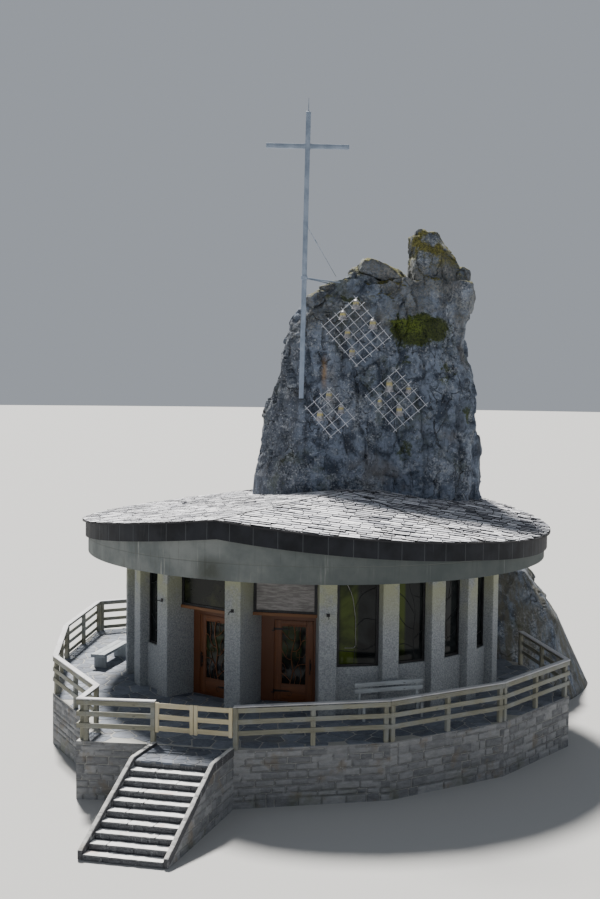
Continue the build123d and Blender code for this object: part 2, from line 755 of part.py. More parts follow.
def board(length, y0, y1, turns, z0, z1):
    """A board along a panel, its ends on the mitre lines of the two corners."""
    near, far = (tan(radians(turn / 2)) for turn in turns)
    gaps = [MITRE_GAP if turn else 0.0 for turn in turns]
    ends = [(y * near + gaps[0], length - y * far - gaps[1]) for y in (y0, y1)]
    return slab(((ends[0][0], y0), (ends[0][1], y0), (ends[1][1], y1), (ends[1][0], y1)), z0, z1)


def post(x):
    return box(x - POST / 2, x + POST / 2, RAIL_T, RAIL_T + POST, TERRACE_H, TERRACE_H + POST_H)


def end_post_inset(turn):
    """From a corner to the middle of the end post, so that it stays on its side of the mitre line."""
    return POST / 2 + POST_GAP + (RAIL_T + POST) * max(0.0, tan(radians(turn / 2)))


def gate_post(side):
    """A post that the rails run into, beside the gateway and square to it."""
    edge = span(side * GATE_WIDTH / 2, side * (GATE_WIDTH / 2 + POST))
    return at_gate(box(*edge, 0, RAIL_T + POST, TERRACE_H, TERRACE_H + POST_H))


def panel(start, end):
    """Posts on the terrace, rails on their outer side over the terrace edge, a board along their tops."""
    length, direction = side_of(start, end)
    turns = (turn_at(start), turn_at(end))
    top = TERRACE_H + POST_H
    pieces = [board(length, -CAP_PROUD, CAP_W - CAP_PROUD, turns, top, top + CAP_T)]
    for number in range(HIGH_RAILS if start in HIGH_PANELS else RAILS):
        middle = TERRACE_H + RAIL_TOP - RAIL_STEP * number
        pieces.append(board(length, 0, RAIL_T, turns, middle - RAIL_H / 2, middle + RAIL_H / 2))
    first, last = end_post_inset(turns[0]), length - end_post_inset(turns[1])
    bays = max(1, round(length / POST_PITCH))
    for step in range(1 if start == "gate_right" else 0, bays if end == "gate_left" else bays + 1):
        pieces.append(post(first + (last - first) * step / bays))
    placed = Pos(*EDGE[start], 0) * Rot(0, 0, direction) * fuse(pieces)
    if start == "gate_right":
        placed = fuse([placed, gate_post(1)]) - gateway
    if end == "gate_left":
        placed = fuse([placed, gate_post(-1)]) - gateway
    return largest(placed - rock)


def make_fence():
    for name, corners in FENCE.items():
        save(name, [panel(*ends) for ends in zip(corners, corners[1:])])


# Gate

GATE_LEAF_W = GATE_WIDTH / 2 - 1.5 * GATE_GAP
GATE_HINGE_X = GATE_WIDTH / 2 - EYE_R - GATE_GAP
GATE_HINGE_Y = RAIL_T + HINGE_STANDOFF
GATE_RAILS = [TERRACE_H + RAIL_TOP - RAIL_STEP * number for number in range(RAILS)]


def gate_leaf(side):
    """A gate leaf in line with the rails: three boards between two uprights."""
    outer = side * (GATE_WIDTH / 2 - GATE_GAP)
    low, high = span(outer, outer - side * GATE_LEAF_W)
    uprights = [
        box(x, x + GATE_FRAME_W, -GATE_UPRIGHT_PROUD, RAIL_T, TERRACE_H + GATE_FOOT_H, TERRACE_H + GATE_TOP_H)
        for x in (low, high - GATE_FRAME_W)
    ]
    boards = [box(low, high, 0, RAIL_T, z - RAIL_H / 2, z + RAIL_H / 2) for z in GATE_RAILS]
    return fuse(uprights + boards)


def gate_pintle(side, height):
    """A pintle on an arm from the side of the gate post."""
    x = side * GATE_HINGE_X
    pin, low, high = pintle(x, GATE_HINGE_Y, height)
    arm = box(*span(x, side * GATE_WIDTH / 2), GATE_HINGE_Y - PINTLE_R, GATE_HINGE_Y + PINTLE_R, low, high)
    return fuse([pin, arm])


def make_gate():
    pintles = []
    heights = (GATE_RAILS[-1], GATE_RAILS[0])
    for side, name in ((-1, "left"), (1, "right")):
        save(f"gate_{name}_leaf", [at_gate(gate_leaf(side))])
        straps = [
            strap(side * GATE_HINGE_X, GATE_HINGE_Y, RAIL_T, -side, height, GATE_STRAP_L) for height in heights
        ]
        save(f"gate_{name}_straps", [at_gate(piece) for piece in straps])
        pintles += [at_gate(gate_pintle(side, height)) for height in heights]
    save("gate_pintles", pintles)


# Benches

def bench_with_back():
    """A slatted bench facing -Y, its back at y = 0."""
    half = BENCH_LEG_W / 2
    under_seat = BENCH_SEAT_H - BENCH_BOARD
    front, rear = -BENCH_D + BENCH_BOARD, -BENCH_BOARD
    pieces = []
    for x in (-BENCH_L / 2 + BENCH_LEG_INSET, BENCH_L / 2 - BENCH_LEG_INSET):
        leg = box(x - half, x + half, front, rear, 0, under_seat)
        between = (front + BENCH_LEG_W, rear - BENCH_LEG_W)
        leg -= box(x - 2 * half, x + 2 * half, *between, 0, under_seat - BENCH_LEG_W)
        upright = box(x - half, x + half, rear - BENCH_BOARD, rear, under_seat - BENCH_LEG_W, BENCH_BACK_H)
        pieces += [leg, upright]
    depth = BENCH_D - 2 * BENCH_BOARD
    slat = (depth - (BENCH_SLATS - 1) * BENCH_SLAT_GAP) / BENCH_SLATS
    for number in range(BENCH_SLATS):
        start = -BENCH_D + (slat + BENCH_SLAT_GAP) * number
        pieces.append(box(-BENCH_L / 2, BENCH_L / 2, start, start + slat, under_seat, BENCH_SEAT_H))
    for number in range(2):
        top = BENCH_BACK_H - BENCH_BACK_STEP * number
        y0 = rear - 2 * BENCH_BOARD
        pieces.append(box(-BENCH_L / 2, BENCH_L / 2, y0, y0 + BENCH_BOARD, top - BENCH_BACK_W, top))
    return fuse(pieces)


def plank_bench():
    half_leg = BENCH_LEG_W / 2
    under = PLANK_BENCH_H - PLANK_BENCH_T
    legs = [
        box(x - half_leg, x + half_leg, -BENCH_D / 2 + SPARE, BENCH_D / 2 - SPARE, 0, under)
        for x in (-PLANK_BENCH_L / 2 + PLANK_LEG_INSET, PLANK_BENCH_L / 2 - PLANK_LEG_INSET)
    ]
    half = PLANK_BENCH_L / 2
    return fuse([*legs, box(-half, half, -BENCH_D / 2, BENCH_D / 2, under, PLANK_BENCH_H)])


def make_benches():
    azimuth = (RIGHT_AZ[0] + RIGHT_AZ[2]) / 2
    bench = Pos(0, -PIER_R - BENCH_GAP, TERRACE_H) * bench_with_back()
    save("bench_right", [turned(bench, azimuth)])
    twist = Rot(0, 0, PLANK_BENCH_FACING - PLANK_BENCH_AZ)
    save("bench_left", [turned(Pos(0, -PLANK_BENCH_R, TERRACE_H) * twist * plank_bench(), PLANK_BENCH_AZ)])


# Cross, made upright over its foot and leaned as a whole

def leaned(shape):
    return Pos(MAST_X, MAST_Y, TERRACE_H + MAST_FOOT_H) * Rot(0, MAST_LEAN, 0) * shape


def make_cross():
    half = MAST_W / 2
    height = MAST_TOP_H - MAST_FOOT_H
    mast = leaned(box(-half, half, -half, half, 0, height))
    arm_z = height - ARM_DROP
    arm = leaned(box(-ARM_L / 2, ARM_L / 2, -ARM_W / 2, ARM_W / 2, arm_z - ARM_W / 2, arm_z + ARM_W / 2))
    rod = leaned(Pos(0, 0, height + ROD_L / 2) * Cylinder(ROD_R, ROD_L))
    reach = half + COLLAR_T
    collar = box(-reach, reach, -reach, reach, COLLAR_RISE - COLLAR_L / 2, COLLAR_RISE + COLLAR_L / 2)
    struts = [
        bar((0, 0, COLLAR_RISE), (x - MAST_X, y - MAST_Y, COLLAR_RISE - STRUT_DROP), STRUT_R)
        for x, y in STRUT_ENDS
    ]
    collar = leaned(fuse([collar, *struts]))
    stay_end = (STAY_END[0] - MAST_X, STAY_END[1] - MAST_Y, STAY_END[2])
    stay = leaned(bar((0, 0, STAY_RISE), stay_end, STAY_R))
    shoe = leaned(
        fuse([
            box(-half, half, half, BEHIND_Y - MAST_Y, 0, SHOE_L),
            box(-half, half, -half, BEHIND_Y - MAST_Y, -SHOE_PLATE, 0),
        ])
    )
    save("cross_mast", [mast])
    save("cross_arm", list((arm - mast).solids()))
    save("lightning_rod", [rod])
    save("mast_collar", [nearest_front(collar - mast - rock)])
    save("mast_stay", [nearest_front(stay - mast - rock)])
    save("mast_shoe", [nearest_front(shoe - rock)])


# Bells

def lattice_frame(name):
    """The plane of a lattice, its origin at the left corner and its first axis up to the right."""
    (x, height), y = LATTICES[name][:2]
    return Pos(x, y, TERRACE_H + height) * Rot(-LATTICE_LEAN, 0, 0) * Rot(0, -LATTICE_ANGLE, 0)


def crossing(name, up, down):
    """The place of a crossing in the lattice's own plane: along the first axis, and down the second."""
    up_length, down_length = LATTICES[name][2:]
    up_bars, down_bars = LATTICE_BARS[name]
    return up * up_length / (up_bars - 1), -down * down_length / (down_bars - 1)


lattices = {}


def make_lattices():
    half = LATTICE_BAR / 2
    for name, (_, _, up_length, down_length) in LATTICES.items():
        up_bars, down_bars = LATTICE_BARS[name]
        pieces = []
        for number in range(down_bars):
            _, z = crossing(name, 0, number)
            pieces.append(box(-half, up_length + half, -half, half, z - half, z + half))
        for number in range(up_bars):
            x, _ = crossing(name, number, 0)
            pieces.append(box(x - half, x + half, -half, half, -down_length - half, half))
        feet = []
        for up, down in ((0, 0), (up_bars - 1, 0), (0, down_bars - 1), (up_bars - 1, down_bars - 1)):
            x, z = crossing(name, up, down)
            feet.append(bar((x, 0, z), (x, LATTICE_FOOT_L, z), LATTICE_FOOT_R))
        frame = lattice_frame(name)
        pieces = [frame * piece for piece in pieces]
        feet = [nearest_front((frame * foot) - rock) for foot in feet]
        lattices[name] = largest(fuse(pieces + feet))
        save(name, [lattices[name]])


def bell(diameter, height):
    """A cast bell about Z, its mouth at z = 0, open below, with a crown to hang by."""
    outer = [(share * diameter / 2, rise * height) for share, rise in BELL_PROFILE]
    inner = [(max(0.0, x - BELL_WALL), y * (1 - BELL_WALL / height)) for x, y in reversed(outer)]
    profile = make_face(Polyline(*outer, *inner, close=True))
    return revolve(Plane.XZ * profile, Axis.Z)


def bell_top(lattice, up, down, diameter):
    """Where the neck of a bell meets its arm, in front of a crossing of its lattice."""
    x, z = crossing(lattice, up, down)
    spot = (lattice_frame(lattice) * Pos(x, 0, z)).position
    return spot, spot.Y - diameter * BELL_REACH, spot.Z - BELL_ARM / 2


def make_bells():
    """Each bell hangs from the end of a flat arm that stands out from a crossing of its lattice."""
    half = BELL_ARM / 2
    for name, (lattice, places) in BELLS.items():
        bells = []
        for up, down, diameter, height in places:
            spot, hang_y, top = bell_top(lattice, up, down, diameter)
            arm = box(spot.X - half, spot.X + half, hang_y - half, spot.Y, top, top + BELL_ARM)
            neck = Pos(spot.X, hang_y, top - BELL_NECK_L / 2) * Cylinder(BELL_NECK_R, BELL_NECK_L)
            body = Pos(spot.X, hang_y, top - BELL_NECK_L - height) * bell(diameter, height)
            bells.append(fuse([body, neck, nearest_front(arm - lattices[lattice])]))
        save(name, bells)


make_roof()
for group, pieces in piers.items():
    save(group, pieces)
save("pier_hooks", [turned(hook(), azimuth) for azimuth in HOOK_AZ])
make_windows()
make_transoms()
make_rubble_walls()
make_doors()
save("terrace_platform", [platform])
make_stair()
make_fence()
make_gate()
make_benches()
make_cross()
make_lattices()
make_bells()
save("rock", [rock])
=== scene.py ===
from math import cos, hypot, pi, radians, sin, tan

import bpy
import numpy as np
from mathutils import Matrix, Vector


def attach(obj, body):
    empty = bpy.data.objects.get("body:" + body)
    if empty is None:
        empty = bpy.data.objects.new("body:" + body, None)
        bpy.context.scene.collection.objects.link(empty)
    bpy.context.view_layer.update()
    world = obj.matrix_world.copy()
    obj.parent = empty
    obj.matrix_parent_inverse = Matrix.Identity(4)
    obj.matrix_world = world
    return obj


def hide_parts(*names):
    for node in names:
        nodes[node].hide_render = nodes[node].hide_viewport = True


# Looks for the round chapel at its rock: soft daylight, a pale floor, and a dressed piece over each plain
# solid. Metres; azimuths are counted from the entrance side, -Y, towards +X.

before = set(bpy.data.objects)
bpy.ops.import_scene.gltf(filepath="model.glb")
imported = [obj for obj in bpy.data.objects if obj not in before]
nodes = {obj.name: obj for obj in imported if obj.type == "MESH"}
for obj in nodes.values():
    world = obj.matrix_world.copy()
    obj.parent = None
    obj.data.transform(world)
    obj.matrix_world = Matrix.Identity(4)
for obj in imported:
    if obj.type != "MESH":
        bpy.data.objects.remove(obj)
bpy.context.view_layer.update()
draw = np.random.default_rng(20)

TERRACE = 1.4
SOFFIT = TERRACE + 3.61
APEX = (0.913, 0.877, TERRACE + 5.229)
FACETS = ((0.102, -0.0353), (-0.0958, 0.0567), (-0.1307, 0.0384), (0.023, -0.0865))
SLATE_R = 6.92
PIER_R = 5.646
PIER_W = 0.467
EDGE = {
    "rear": (-2.3, 7.3), "rear_left": (-7.43, 4.52), "left": (-7.7, 0.43), "left_front": (-7.14, -3.65),
    "pocket": (-5.44, -6.72), "front_left": (-5.63, -7.97), "gate_left": (-3.74, -8.13),
    "gate_right": (-1.87, -8.51), "front": (1.85, -7.72), "front_right": (4.86, -5.82),
    "right": (7.05, -3.18), "rock_right": (6.36, 0.7),
}


# Materials

class Link:
    """A socket of a material; sums on it add Math nodes."""

    def __init__(self, finish, socket):
        self.finish, self.socket = finish, socket

    def maths(self, operation, other, turned=False):
        first, second = (other, self) if turned else (self, other)
        return self.finish.add("ShaderNodeMath", {"operation": operation}, {0: first, 1: second})

    def __add__(self, other):
        return self.maths("ADD", other)

    def __sub__(self, other):
        return self.maths("SUBTRACT", other)

    def __rsub__(self, other):
        return self.maths("SUBTRACT", other, turned=True)

    def __mul__(self, other):
        return self.maths("MULTIPLY", other)

    __radd__, __rmul__ = __add__, __mul__

    def rise(self, low, high):
        """0 under low and 1 over high, with a soft rise between them."""
        settings = {"interpolation_type": "SMOOTHSTEP"}
        return self.finish.add("ShaderNodeMapRange", settings, {0: self, 1: low, 2: high})

    def near(self, middle, reach):
        """1 at a value, and 0 from a reach away on both sides."""
        return 1 - (self - middle).maths("ABSOLUTE", 0.0).rise(0.0, reach)


class Finish:
    """A material in the making; what is the same all over is set on the shader itself."""

    def __init__(self, name, **values):
        self.material = bpy.data.materials.new(name)
        self.material.use_nodes = True
        self.tree = self.material.node_tree
        self.shader = self.tree.nodes["Principled BSDF"]
        for key, value in values.items():
            self.shader.inputs[key.replace("_", " ")].default_value = value
        coordinates = self.tree.nodes.new("ShaderNodeTexCoord")
        self.place = Link(self, coordinates.outputs["Object"])
        self.grain = Link(self, coordinates.outputs["UV"])

    def put(self, socket, value):
        if isinstance(value, Link):
            self.tree.links.new(value.socket, socket)
        elif isinstance(value, tuple) and socket.type == "RGBA":
            socket.default_value = (*value, 1)
        else:
            socket.default_value = value

    def add(self, kind, settings, sockets, out=0):
        node = self.tree.nodes.new(kind)
        for key, value in settings.items():
            setattr(node, key, value)
        for key, value in sockets.items():
            self.put(node.inputs[key], value)
        return Link(self, node.outputs[out])

    def spread(self, stretch=(1, 1, 1), shift=(0, 0, 0), base=None):
        return self.add("ShaderNodeMapping", {},
                        {"Vector": base or self.place, "Location": shift, "Scale": stretch})

    def cloud(self, scale, detail=3.0, rough=0.55, at=None, twist=0.0):
        return self.add("ShaderNodeTexNoise", {}, {
            "Vector": at or self.place, "Scale": scale, "Detail": detail, "Roughness": rough,
            "Distortion": twist})

    def cells(self, scale, feature="F1", at=None, out=0):
        return self.add("ShaderNodeTexVoronoi", {"feature": feature},
                        {"Vector": at or self.place, "Scale": scale}, out)

    def axis(self, number, base=None):
        return self.add("ShaderNodeSeparateXYZ", {}, {0: base or self.place}, number)

    def blend(self, first, second, amount):
        return self.add("ShaderNodeMix", {"data_type": "RGBA"}, {0: amount, 6: first, 7: second}, 2)

    def shade(self):
        """The number from 0 to 1 that each board or stone of a piece has of its own."""
        return self.add("ShaderNodeAttribute", {"attribute_name": "shade"}, {}, 2)

    def upward(self):
        """How far the surface faces up."""
        return self.axis(2, self.add("ShaderNodeNewGeometry", {}, {}, 1))

    def turn(self):
        """The azimuth round the building, in radians."""
        return self.add("ShaderNodeMath", {"operation": "ARCTAN2"}, {0: self.axis(0), 1: 0 - self.axis(1)})

    def wrapped(self, radius):
        """Places on a round wall: along it by the azimuth, and up."""
        return self.add("ShaderNodeCombineXYZ", {}, {0: self.turn() * radius, 1: 0.0, 2: self.axis(2)})

    def bent(self, stretch, scale, detail):
        """Places stretched and shaken by noise, for uneven cells."""
        noise = {"Vector": self.place, "Scale": scale, "Detail": detail}
        shaken = self.add("ShaderNodeTexNoise", {}, noise, 1)
        return self.add("ShaderNodeVectorMath", {"operation": "ADD"}, {0: self.spread(stretch), 1: shaken})

    def coats(self, colour, *coats):
        """Colours laid over the first in turn, each by its own mask."""
        for paint, mask in coats:
            colour = self.blend(colour, paint, mask)
        return colour

    def cover(self, colour, roughness=None, relief=None, depth=0.01):
        self.put(self.shader.inputs["Base Color"], colour)
        if roughness is not None:
            self.put(self.shader.inputs["Roughness"], roughness)
        if relief is not None:
            bump = self.add("ShaderNodeBump", {}, {"Height": relief, "Distance": depth})
            self.put(self.shader.inputs["Normal"], bump)
        return self.material


def make_roughcast():
    """Grey roughcast: grains thrown on the wall, darker in patches towards the foot, a green tinge under the
    eaves.
    """
    f = Finish("roughcast", Roughness=0.95)
    grains, lumps, patches, height = f.cloud(26, 5, 0.62), f.cells(34), f.cloud(1.3, 4, 0.6), f.axis(2)
    colour = f.coats(
        f.blend((0.19, 0.205, 0.225), (0.37, 0.395, 0.415), grains.rise(0.30, 0.70)),
        ((0.36, 0.37, 0.24), patches.rise(0.30, 0.55) * height.rise(3.3, 4.9) * 0.85),
        ((0.20, 0.21, 0.21), patches.rise(0.5, 0.66) * (1 - height.rise(1.4, 2.2)) * 0.6))
    return f.cover(colour, None, grains + (1 - lumps) * 0.4, 0.022)


def make_concrete():
    """Fair-faced concrete, darker to the right: the joint line of its boards, pale lime runs, and dark damp
    under a hip."""
    f = Finish("concrete", Roughness=0.88)
    height, turn, wall = f.axis(2), f.turn(), f.wrapped(6.7)
    runs = f.cloud(1.0, 6, 0.65, f.spread((9.0, 1, 0.5), base=wall))
    long_runs = f.cloud(1.0, 3, 0.5, f.spread((2.2, 1, 0.25), (4, 0, 0), wall))
    grain, blotch = f.cloud(40, 4, 0.6), f.cloud(1.1, 4, 0.6)
    joint = height.near(SOFFIT + 0.44, 0.018)
    damp = turn.near(-0.40, 0.10) * blotch.rise(0.3, 0.5) * (1 - height.rise(SOFFIT + 0.3, SOFFIT + 0.7))
    colour = f.coats(
        f.blend((0.112, 0.128, 0.128), (0.198, 0.214, 0.208), blotch.rise(0.3, 0.7)),
        ((0.46, 0.47, 0.44), runs.rise(0.56, 0.72) * long_runs.rise(0.45, 0.6) * 0.8),
        ((0.06, 0.066, 0.055), (1 - runs.rise(0.28, 0.45)) * 0.5),
        ((0.042, 0.054, 0.054), turn.rise(-0.7, 0.4) * 0.68),
        ((0.12, 0.13, 0.12), joint * 0.75),
        ((0.045, 0.05, 0.04), damp * 0.85))
    return f.cover(colour, None, grain * 0.5 + blotch - joint * 0.8, 0.008)


# Moss trails on the face of the rock: middle and half width across, middle and half height, strength
TRAILS = (
    (2.62, 0.24, 10.9, 0.9, 1.0), (4.05, 0.22, 10.3, 0.7, 1.0), (2.75, 0.35, 7.85, 0.6, 1.0),
    (4.75, 0.3, 9.0, 0.6, 1.0), (1.0, 1.2, 12.55, 0.22, 0.8),
)


def mossed(f, colour, fine, drift, front):
    """A rock's growth: dry brown on its tops and crown, a moss cushion on its ledge, trails down its face."""
    scrap = f.cloud(2.4, 7, 0.72)
    astray = (drift - 0.5) * 1.5
    broad, high = f.axis(0) + astray, f.axis(2) - astray * 0.7 + (fine - 0.5) * 0.3
    tops = f.upward().rise(0.30, 0.70) * high.rise(12.3, 12.9) * scrap.rise(0.40, 0.52)
    crown = high.rise(13.55, 14.2) * broad.rise(2.8, 3.1) * f.cloud(1.6, 6, 0.7).rise(0.44, 0.54)
    cushion = broad.near(3.25, 1.55) * high.near(11.65, 0.80) * 1.6
    lit = broad.near(2.9, 0.7) * high.near(11.85, 0.40) * fine.rise(0.38, 0.58)
    trails = sum(broad.near(x, wide) * high.near(z, tall) * strength for x, wide, z, tall, strength in TRAILS)
    green = f.blend((0.008, 0.014, 0.004), (0.055, 0.075, 0.012), fine.rise(0.38, 0.62))
    brown = f.blend((0.030, 0.026, 0.010), (0.20, 0.19, 0.035), fine.rise(0.36, 0.62))
    return f.coats(
        colour,
        (brown, tops.maths("MAXIMUM", crown) * 0.95),
        (f.blend(green, (0.13, 0.18, 0.02), lit), cushion.rise(0.35, 0.7) * front),
        (green, (trails * scrap.rise(0.36, 0.56)).rise(0.15, 0.6) * front * 0.85),
        ((0.035, 0.045, 0.02), scrap.rise(0.46, 0.56) * f.cloud(0.7, 3).rise(0.55, 0.65) * 0.5))


def make_rock():
    """Limestone: blue-grey and warmer above, dark runs and pale lichen, cracks, a rusty run in the groove, and
    painted shade on its left part.
    """
    f = Finish("limestone", Roughness=0.93)
    high, broad = f.axis(2), f.axis(0)
    front = (0 - f.axis(1)).rise(-3.6, -3.1)
    large, middle, fine = f.cloud(0.50, 6, 0.62), f.cloud(2.4, 9, 0.70, twist=0.4), f.cloud(16, 8, 0.72)
    drift = f.cloud(1.9, 6, 0.7)
    streaks = f.cloud(1.0, 7, 0.66, f.spread((2.4, 2.4, 0.16)), 0.3)
    crack = 1 - f.cells(1.0, "DISTANCE_TO_EDGE", f.bent((1.5, 1.5, 0.38), 1.3, 6.0)).rise(0.0, 0.022)
    crack = crack * f.cloud(1.1, 4).rise(0.48, 0.58)
    warm = high.rise(10.8, 12.4) * f.cloud(0.8, 5, 0.6).rise(0.40, 0.56) * fine.rise(0.34, 0.6)
    rust = broad.near(0.20, 0.13) * high.near(10.25, 0.70) * fine.rise(0.30, 0.50) * front
    colour = f.coats(
        f.blend((0.030, 0.043, 0.068), (0.170, 0.210, 0.280), middle.rise(0.38, 0.60)),
        ((0.36, 0.385, 0.42), large.rise(0.50, 0.64) * fine.rise(0.44, 0.60) * 0.75),
        ((0.032, 0.038, 0.052), streaks.rise(0.50, 0.64) * 0.65),
        # painted shade: the left part of the rock is made darker
        ((0.030, 0.037, 0.050), (1 - broad.rise(-1.1, 0.1)) * large.rise(0.25, 0.5) * 0.7),
        ((0.40, 0.43, 0.46), drift.rise(0.53, 0.62) * fine.rise(0.38, 0.6) * 0.6),
        ((0.035, 0.036, 0.034), high.rise(13.0, 13.8) * f.cloud(1.2, 5, 0.7).rise(0.42, 0.55) * 0.6),
        ((0.17, 0.16, 0.15), f.cloud(0.9, 5, 0.6).rise(0.56, 0.72) * 0.5),
        ((0.56, 0.57, 0.58), fine.rise(0.58, 0.68) * large.rise(0.36, 0.56) * 0.75),
        ((0.020, 0.024, 0.032), f.cloud(7, 7, 0.75).rise(0.54, 0.64) * 0.7),
        ((0.60, 0.61, 0.62), (1 - f.cells(5.5).rise(0.10, 0.13)) * 0.25),
        ((0.015, 0.017, 0.02), crack * 0.9),
        ((0.15, 0.145, 0.12), warm * 0.65),
        ((0.10, 0.095, 0.07), (1 - high.rise(3.6, 5.2)) * streaks.rise(0.35, 0.6) * 0.8),
        ((0.32, 0.19, 0.07), rust * 0.75))
    colour = mossed(f, colour, fine, drift, front)
    return f.cover(colour, None, middle + fine * 0.40 - crack * 0.5, 0.12)


def make_slate():
    """Split slate: pale lavender grey, each slate with its own tone and fine cleft, and near-black painted
    shade on its edges, where the faces do not look up.
    """
    f = Finish("slate", Roughness=0.6)
    cleft = f.cloud(1.0, 6, 0.65, f.spread((9, 9, 40)))
    face = f.blend((0.30, 0.31, 0.36), (0.95, 0.95, 0.99), f.shade())
    colour = f.coats(
        # painted shade: faces that do not look up are made near-black
        f.blend((0.02, 0.022, 0.03), face, f.upward().rise(0.35, 0.75)),
        ((0.15, 0.16, 0.20), cleft.rise(0.54, 0.68) * 0.5),
        ((0.38, 0.35, 0.32), f.cloud(0.7, 4).rise(0.62, 0.74) * 0.4))
    return f.cover(colour, cleft * 0.3 + 0.42, cleft, 0.012)


def make_underlay():
    """Dark felt under the slates, made near-black to stand as painted shade in the gaps between them."""
    f = Finish("slate_bed", Roughness=0.9)
    colour = f.blend((0.010, 0.010, 0.012), (0.035, 0.035, 0.04), f.cloud(6, 5))
    return f.cover(colour, None, f.cloud(18, 4), 0.01)


def make_fascia():
    """Near-black sheet metal with upright seams and faint pale runs."""
    f = Finish("fascia_metal", IOR=1.3)
    seam = (f.turn() * (6.83 / 0.62)).maths("FRACT", 0.0).near(0.5, 0.028)
    runs = f.cloud(1.0, 4, 0.6, f.spread((9.0, 1, 0.4), base=f.wrapped(6.8)))
    colour = f.coats(
        f.blend((0.007, 0.008, 0.011), (0.018, 0.020, 0.026), f.cloud(2.0, 4).rise(0.3, 0.7)),
        ((0.085, 0.09, 0.10), runs.rise(0.62, 0.80) * 0.45),
        ((0.10, 0.11, 0.12), seam * 0.5))
    return f.cover(colour, runs * 0.25 + 0.5, seam + f.cloud(3, 2) * 0.3, 0.006)


def toned(colour, amount):
    """A colour made darker or paler by a share."""
    return tuple(min(1.0, amount * channel) for channel in colour)


def make_timber(name, pale, dark, grey, rough=0.8, weather=0.5):
    """Sawn timber: fibres along each board, knots, and weather that greys it unevenly."""
    f = Finish(name, Roughness=rough)
    fibres = f.cloud(1.0, 6, 0.65, f.spread((1.6, 46, 1), base=f.grain), 0.5)
    rings = f.cloud(1.0, 3, 0.5, f.spread((0.9, 14, 1), (3, 1, 0), f.grain), 1.2)
    knot = 1 - f.cells(1.0, "F1", f.spread((2.1, 7.5, 1), base=f.grain)).rise(0.05, 0.12)
    colour = f.coats(
        f.blend(dark, pale, fibres.rise(0.3, 0.66) * 0.6 + f.shade() * 0.4),
        (dark, rings.rise(0.5, 0.62) * 0.35),
        (grey, f.cloud(1.5, 4, 0.6).rise(0.40, 0.66) * weather),
        (toned(dark, 0.35), knot * 0.8))
    return f.cover(colour, None, fibres - knot * 0.4, 0.004)


def make_glass():
    """Dark window glass with faint unevenness, and a painted green reflection in the left part of the panes
    beside the doors.
    """
    f = Finish("window_glass", Roughness=0.06, IOR=1.22)
    turn, wave = f.turn(), f.cloud(0.9, 4, 0.55, twist=1.0)
    left = turn.near(0.165, 0.075) + turn.near(0.425, 0.06) + turn.near(0.69, 0.045)
    # painted reflection: a green cloud in the left part of the panes beside the doors
    painted_green_reflection = f.blend((0.014, 0.022, 0.004), (0.060, 0.084, 0.014), wave.rise(0.40, 0.66))
    dark = f.blend((0.004, 0.005, 0.006), (0.018, 0.021, 0.022), wave.rise(0.42, 0.66))
    colour = f.blend(dark, painted_green_reflection, left.rise(0.15, 0.6) * wave.rise(0.30, 0.50))
    return f.cover(colour, None, f.cloud(2.0, 1), 0.002)


def make_door_glass():
    """Dark glass of the doors, with a painted green reflection in the upper half and a pale grey painted
    reflection below.
    """
    f = Finish("door_glass", Roughness=0.08, IOR=1.25)
    wave, high = f.cloud(2.6, 5, 0.6, twist=0.8), f.axis(2)
    colour = f.coats(
        f.blend((0.005, 0.006, 0.007), (0.016, 0.016, 0.015), wave.rise(0.3, 0.7)),
        # painted reflections: a green cloud in the upper half and a pale grey one lower down
        ((0.030, 0.045, 0.018), wave.rise(0.46, 0.60) * high.rise(2.3, 2.8)),
        ((0.10, 0.10, 0.095), wave.rise(0.44, 0.52) * high.near(2.2, 0.26)))
    return f.cover(colour, None, f.cloud(2.0, 1), 0.002)


def make_transom_glass():
    """Glass over the doors, the left one darker and the right one silvery with a painted sheen."""
    f = Finish("clouded_glass", IOR=1.3)
    streak = f.cloud(1.0, 6, 0.7, f.spread((3.0, 3.0, 22)))
    # painted sheen: the silvery streaked glass on the right
    silver = f.blend((0.13, 0.122, 0.122), (0.29, 0.278, 0.275), streak.rise(0.34, 0.68))
    smoke = f.blend((0.004, 0.006, 0.005), (0.028, 0.032, 0.014), f.cloud(1.6, 4, 0.6).rise(0.45, 0.7))
    return f.cover(f.blend(smoke, silver, f.axis(0).rise(-2.15, -2.0)), streak * 0.2 + 0.14)


def make_metal(name, dark, pale, metallic, rough, scale=9.0):
    """Painted or weathered metal with dull and bright clouds and small scuffs."""
    f = Finish(name, Metallic=metallic)
    cloud = f.cloud(scale, 5, 0.65)
    runs = f.cloud(1.0, 4, 0.6, f.spread((14, 14, 1.1)))
    colour = f.coats(
        f.blend(dark, pale, cloud.rise(0.24, 0.76)), (toned(dark, 0.6), runs.rise(0.56, 0.72) * 0.5))
    return f.cover(colour, cloud * 0.3 + rough, f.cloud(70, 3), 0.0015)


def make_bronze():
    """Cast bronze dulled to a pale grey, with a painted yellow highlight as a band on the waist; the shade is
    the height share.
    """
    f = Finish("bell_bronze", Metallic=0.45)
    cloud = f.cloud(14, 5, 0.65)
    colour = f.coats(
        f.blend((0.20, 0.20, 0.215), (0.46, 0.45, 0.47), cloud.rise(0.36, 0.64)),
        # painted highlight: a yellow band round the waist
        ((0.52, 0.45, 0.13), f.shade().near(0.60, 0.24) * cloud.rise(0.30, 0.55)),
        ((0.16, 0.17, 0.17), f.cloud(7, 4).rise(0.50, 0.62) * 0.5))
    return f.cover(colour, cloud * 0.3 + 0.30, f.cloud(90, 3), 0.001)


